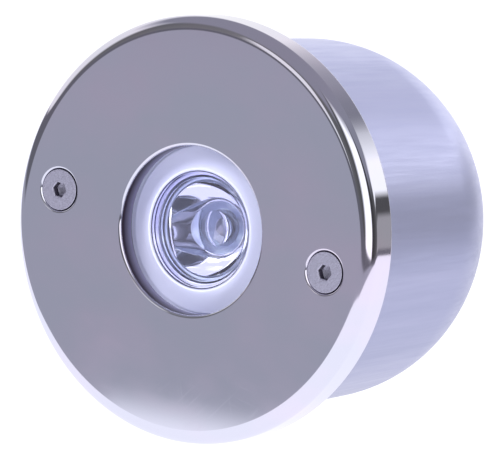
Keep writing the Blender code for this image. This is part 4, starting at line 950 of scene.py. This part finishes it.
gland_outline = np.array([
    (GLAND_BORE, GLAND_FRONT, 0.0), (GLAND_LEAD_IN, GLAND_FRONT, 0.0),
    (GLAND_RADIUS, GLAND_FRONT + 0.0003, 0.0), (GLAND_RADIUS, GLAND_HEX_FRONT, 0.0),
    (GLAND_HEX * HEX_FLATS, GLAND_HEX_FRONT, 0.0),
    (GLAND_HEX, GLAND_HEX_FRONT + NUT_CHAMFER, 1.0), (GLAND_HEX, GLAND_HEX_BACK - NUT_CHAMFER, 1.0),
    (GLAND_HEX * HEX_FLATS, GLAND_HEX_BACK, 0.0), (GLAND_RADIUS, GLAND_HEX_BACK, 0.0),
    *run((GLAND_RADIUS, GLAND_HEX_BACK + 0.0002), (GLAND_RADIUS, GLAND_BACK - 0.0004), THREAD_ROW),
    (GLAND_LEAD_IN, GLAND_BACK, 0.0), (GLAND_SEAT, GLAND_BACK, 0.0),
    (GLAND_SEAT, GLAND_HEX_BACK, 0.0), (GLAND_BORE, GLAND_HEX_BACK, 0.0)])
gland_thread = cut_thread(PIPE_PITCH, PIPE_THREAD_DEPTH, GLAND_RADIUS,
                          (GLAND_HEX_BACK + 0.0004, GLAND_BACK - 0.0002))
attach(spin("gland_fitting", gland_outline, 96, thread=gland_thread, sharp_from=20.0),
       "gland_body", plated_brass)

skirt = [(GLAND_NUT_RADIUS * HEX_FLATS, GLAND_NUT_FRONT, 0.0),
         (GLAND_NUT_RADIUS, GLAND_NUT_FRONT + NUT_CHAMFER, 1.0), (GLAND_NUT_RADIUS, GLAND_NUT_HEX_BACK, 1.0)]
dome_nut = then_round(skirt, eased([
    (GLAND_NUT_RADIUS, GLAND_NUT_HEX_BACK + 0.0004, 0.0), (GLAND_NUT_RADIUS, GLAND_NUT_BACK, 0.0022),
    (CABLE_RADIUS, GLAND_NUT_BACK, 0.0004), (CABLE_RADIUS, GLAND_NUT_WALL, EDGE),
    (GLAND_NUT_BORE, GLAND_NUT_WALL, EDGE), (GLAND_NUT_BORE, GLAND_NUT_FRONT, SOFT_EDGE)]))
attach(spin("gland_dome_nut", dome_nut, 96, sharp_from=20.0), "gland_nut", plated_brass)
gasket("gland_seal", CABLE_RADIUS, GLAND_SEAT - CLEARANCE, black_rubber, SOFT_EDGE, 64)
dress(plated_brass, "gland_locknut")


# Studio
# A pale floor well below the light, which hangs in the air as it does in the photograph, a white
# background, two soft lamps, and a long lens from the light's front right, a little above and
# rolled. Metal and glass reflect a ring of white and grey cards round the light, which are placed by
# their bearing in degrees from the camera's side towards its right.

FLOOR_HEIGHT = -0.20
HALF_FLOOR = 4.0
FLOOR_NEAR = 0.765           # distance up to which metal reflects the floor white
FLOOR_FAR = 0.805            # and from which it is reflected grey
FLOOR_END = 1.45             # and from which it turns dark
FLOOR_FADE = 0.25
FLOOR_PULLS = (              # (bearing, cosine from which it acts, how much further or nearer it seems)
    (90, 0.0, -0.8), (180, 0.0, -0.95), (-110, 0.72, 3.0))
VIEW_AZIMUTH = math.radians(32.53)
VIEW_ELEVATION = math.radians(10.77)
VIEW_ROLL = math.radians(10.49)
VIEW_DISTANCE = 1.5
LENS_LENGTH = 608.5
FRAME_RIGHT = 0.01061        # the frame's middle, from the middle of the plate's face
FRAME_UP = 0.00039
LAMPS_AIM = (0.0, 0.02, 0.0)
WHITE = (1.0, 1.0, 1.0)
BRIGHT = (1.18, 1.18, 1.25)
SOFT = (0.95, 0.96, 1.12)
GREY = (0.435, 0.44, 0.50)
PAPER_GLOW = (0.66, 0.66, 0.66)
CEILING = (0.32, 0.32, 0.37)
DARK = (0.16, 0.16, 0.18)
LENS_TONE = (0.98, 0.98, 1.48)
LENS_WHITE = (2.8, 2.8, 3.1)
CARDS = (                    # (bearing, brightness)
    (-180, 1.05), (-150, 1.0), (-104, 1.0), (-90, 0.16), (-65, 0.22), (-13, 0.10), (1, 1.6), (45, 1.6),
    (52, 0.06), (66, 0.06), (98, 0.14), (106, 0.45), (140, 0.55), (150, 1.05), (180, 1.05))
EDGE_CARD = (-62, -46)       # a low white card, which the rim reflects as a bright line
EDGE_CARD_TOP = 0.35
SLAT_CARD = (103, 147)
CARD_SOFT = 4.011
SLATS = (                    # (share of the way up, brightness) of the slatted card
    (0.0, 0.42), (0.15, 0.42), (0.18, 0.10), (0.245, 0.10), (0.28, 1.35), (0.49, 1.35), (0.53, 0.06),
    (0.70, 0.15))
FRONT = (-20, 66)            # where the ceiling begins higher by this much
FRONT_RISE = 0.32
BACKDROP = (135, 150)        # from here on the backdrop goes on below the horizon
LENS_CARD = (-58, -66)       # from here on the lens shows white, and in a strip between two heights
LENS_STRIP = (0.24, 0.27, 0.35, 0.38)

scene = bpy.context.scene
scene.view_settings.view_transform = "Standard"
aside = np.array([math.cos(VIEW_AZIMUTH), math.sin(VIEW_AZIMUTH), 0.0])
towards = np.array([math.sin(VIEW_AZIMUTH), -math.cos(VIEW_AZIMUTH), 0.0])


def share_of(place, way):
    """How far a place lies along a way."""
    return vector("DOT_PRODUCT", place, tuple(way), "Value")


def shades(factor, stops):
    """Greys along a factor, from (place, brightness) stops."""
    ramp = factor.id_data.nodes.new("ShaderNodeValToRGB")
    link(factor, ramp.inputs["Fac"])
    elements = ramp.color_ramp.elements
    for number, (place, brightness) in enumerate(stops):
        stop = elements[number] if number < 2 else elements.new(place)
        stop.position = place
        stop.color = (brightness, brightness, brightness, 1.0)
    return ramp.outputs["Color"]


def between(value, low, high, soft):
    """1 where a value lies between low and high, 0 outside, with soft edges."""
    return calculate("MULTIPLY", remap(value, low - soft, low + soft),
                     remap(value, high + soft, high - soft))


world = bpy.data.worlds.new("soft_studio")
scene.world = world
world.use_nodes = True
tree = world.node_tree
direction = tree.nodes.new("ShaderNodeTexCoord").outputs["Generated"]
bearing = calculate("ARCTAN2", share_of(direction, aside), share_of(direction, towards))
bearing = calculate("MULTIPLY", bearing, 180.0 / math.pi)
rise = along(direction, "Z")
studio = shades(calculate("MULTIPLY_ADD", bearing, 1.0 / 360.0, 0.5),
                [(degrees / 360.0 + 0.5, brightness) for degrees, brightness in CARDS])
edge_card = calculate("MULTIPLY", between(bearing, *EDGE_CARD, 1.719),
                      between(rise, -0.02, EDGE_CARD_TOP, 0.02))
studio = mix_colours(edge_card, studio, WHITE)
studio = mix_colours(between(bearing, *SLAT_CARD, CARD_SOFT), studio, shades(rise, SLATS))
over = calculate("MULTIPLY_ADD", between(bearing, *FRONT, CARD_SOFT), -FRONT_RISE, rise)
studio = mix_colours(remap(over, 0.40, 0.56), studio, CEILING)
behind = remap(calculate("ABSOLUTE", bearing), *BACKDROP)
studio = mix_colours(calculate("SUBTRACT", remap(rise, 0.0, -0.02), behind), studio, DARK)
path = tree.nodes.new("ShaderNodeLightPath").outputs
seen = mix_colours(path["Is Glossy Ray"], SOFT, studio)
strip = calculate("MULTIPLY", remap(rise, *LENS_STRIP[:2]), remap(rise, *LENS_STRIP[:1:-1]))
lens_card = calculate("MAXIMUM", remap(bearing, *LENS_CARD), strip)
seen = mix_colours(path["Is Transmission Ray"], seen, mix_colours(lens_card, LENS_TONE, LENS_WHITE))
seen = mix_colours(path["Is Camera Ray"], seen, WHITE)
link(seen, tree.nodes["Background"].inputs["Color"])

corners = np.array([(-1, -1, 0), (1, -1, 0), (1, 1, 0), (-1, 1, 0)]) * HALF_FLOOR
floor = finish_mesh("floor", corners + (0.0, 0.0, FLOOR_HEIGHT), [(0, 1, 2, 3)])
paper, shader, place = new_material("pale_paper", (0.42, 0.42, 0.43), 0.0, 0.9)
link(mix_colours(noise(place, 30.0), (0.40, 0.40, 0.41), (0.44, 0.44, 0.45)),
     shader.inputs["Base Color"])
distance = from_axis(place, (1.0, 1.0, 0.0))
reach = distance
for degrees, acts_from, share in FLOOR_PULLS:
    way = math.cos(math.radians(degrees)) * towards + math.sin(math.radians(degrees)) * aside
    pull = calculate("MULTIPLY_ADD", distance, -acts_from, share_of(place, way))
    reach = calculate("MULTIPLY_ADD", calculate("MAXIMUM", pull, 0.0), share, reach)
reflected = mix_colours(remap(reach, FLOOR_NEAR, FLOOR_FAR), BRIGHT, GREY)
reflected = mix_colours(remap(reach, FLOOR_END, FLOOR_END + FLOOR_FADE), reflected, DARK)
tree = paper.node_tree
path = tree.nodes.new("ShaderNodeLightPath").outputs
glow = put("ShaderNodeEmission", mix_colours(path["Is Transmission Ray"], reflected, LENS_TONE))
own_glow = tree.nodes.new("ShaderNodeEmission")
own_glow.inputs["Color"].default_value = (*PAPER_GLOW, 1.0)
lit = put("ShaderNodeAddShader", shader.outputs["BSDF"], own_glow.outputs["Emission"])
mirrored = calculate("MAXIMUM", path["Is Glossy Ray"], path["Is Transmission Ray"])
link(put("ShaderNodeMixShader", mirrored, lit, glow), tree.nodes["Material Output"].inputs["Surface"])
floor.data.materials.append(paper)

for name, place, power in (("left_softbox", (-0.9, -1.0, 0.9), 13.0),
                           ("right_softbox", (1.3, -0.5, 0.2), 16.0)):
    lamp = bpy.data.lights.new(name, "AREA")
    lamp.shape = "DISK"
    lamp.size = 0.9
    lamp.energy = power
    softbox = bpy.data.objects.new(name, lamp)
    way = Vector(LAMPS_AIM) - Vector(place)
    softbox.matrix_world = Matrix.Translation(place) @ way.to_track_quat("-Z", "Y").to_matrix().to_4x4()
    softbox.visible_camera = softbox.visible_glossy = softbox.visible_transmission = False
    scene.collection.objects.link(softbox)

back = math.cos(VIEW_ELEVATION) * towards + np.array([0.0, 0.0, math.sin(VIEW_ELEVATION)])
level_up = np.cross(back, aside)
right = math.cos(VIEW_ROLL) * aside + math.sin(VIEW_ROLL) * level_up
up = math.cos(VIEW_ROLL) * level_up - math.sin(VIEW_ROLL) * aside
stand = np.array([0.0, PLATE_FRONT, 0.0]) + FRAME_RIGHT * right + FRAME_UP * up + VIEW_DISTANCE * back
camera = bpy.data.objects.new("camera", bpy.data.cameras.new("camera"))
camera.data.lens = LENS_LENGTH
camera.data.clip_start = 0.05
camera.matrix_world = Matrix([(*right, 0.0), (*up, 0.0), (*back, 0.0), (*stand, 1.0)]).transposed()
scene.collection.objects.link(camera)
scene.camera = camera
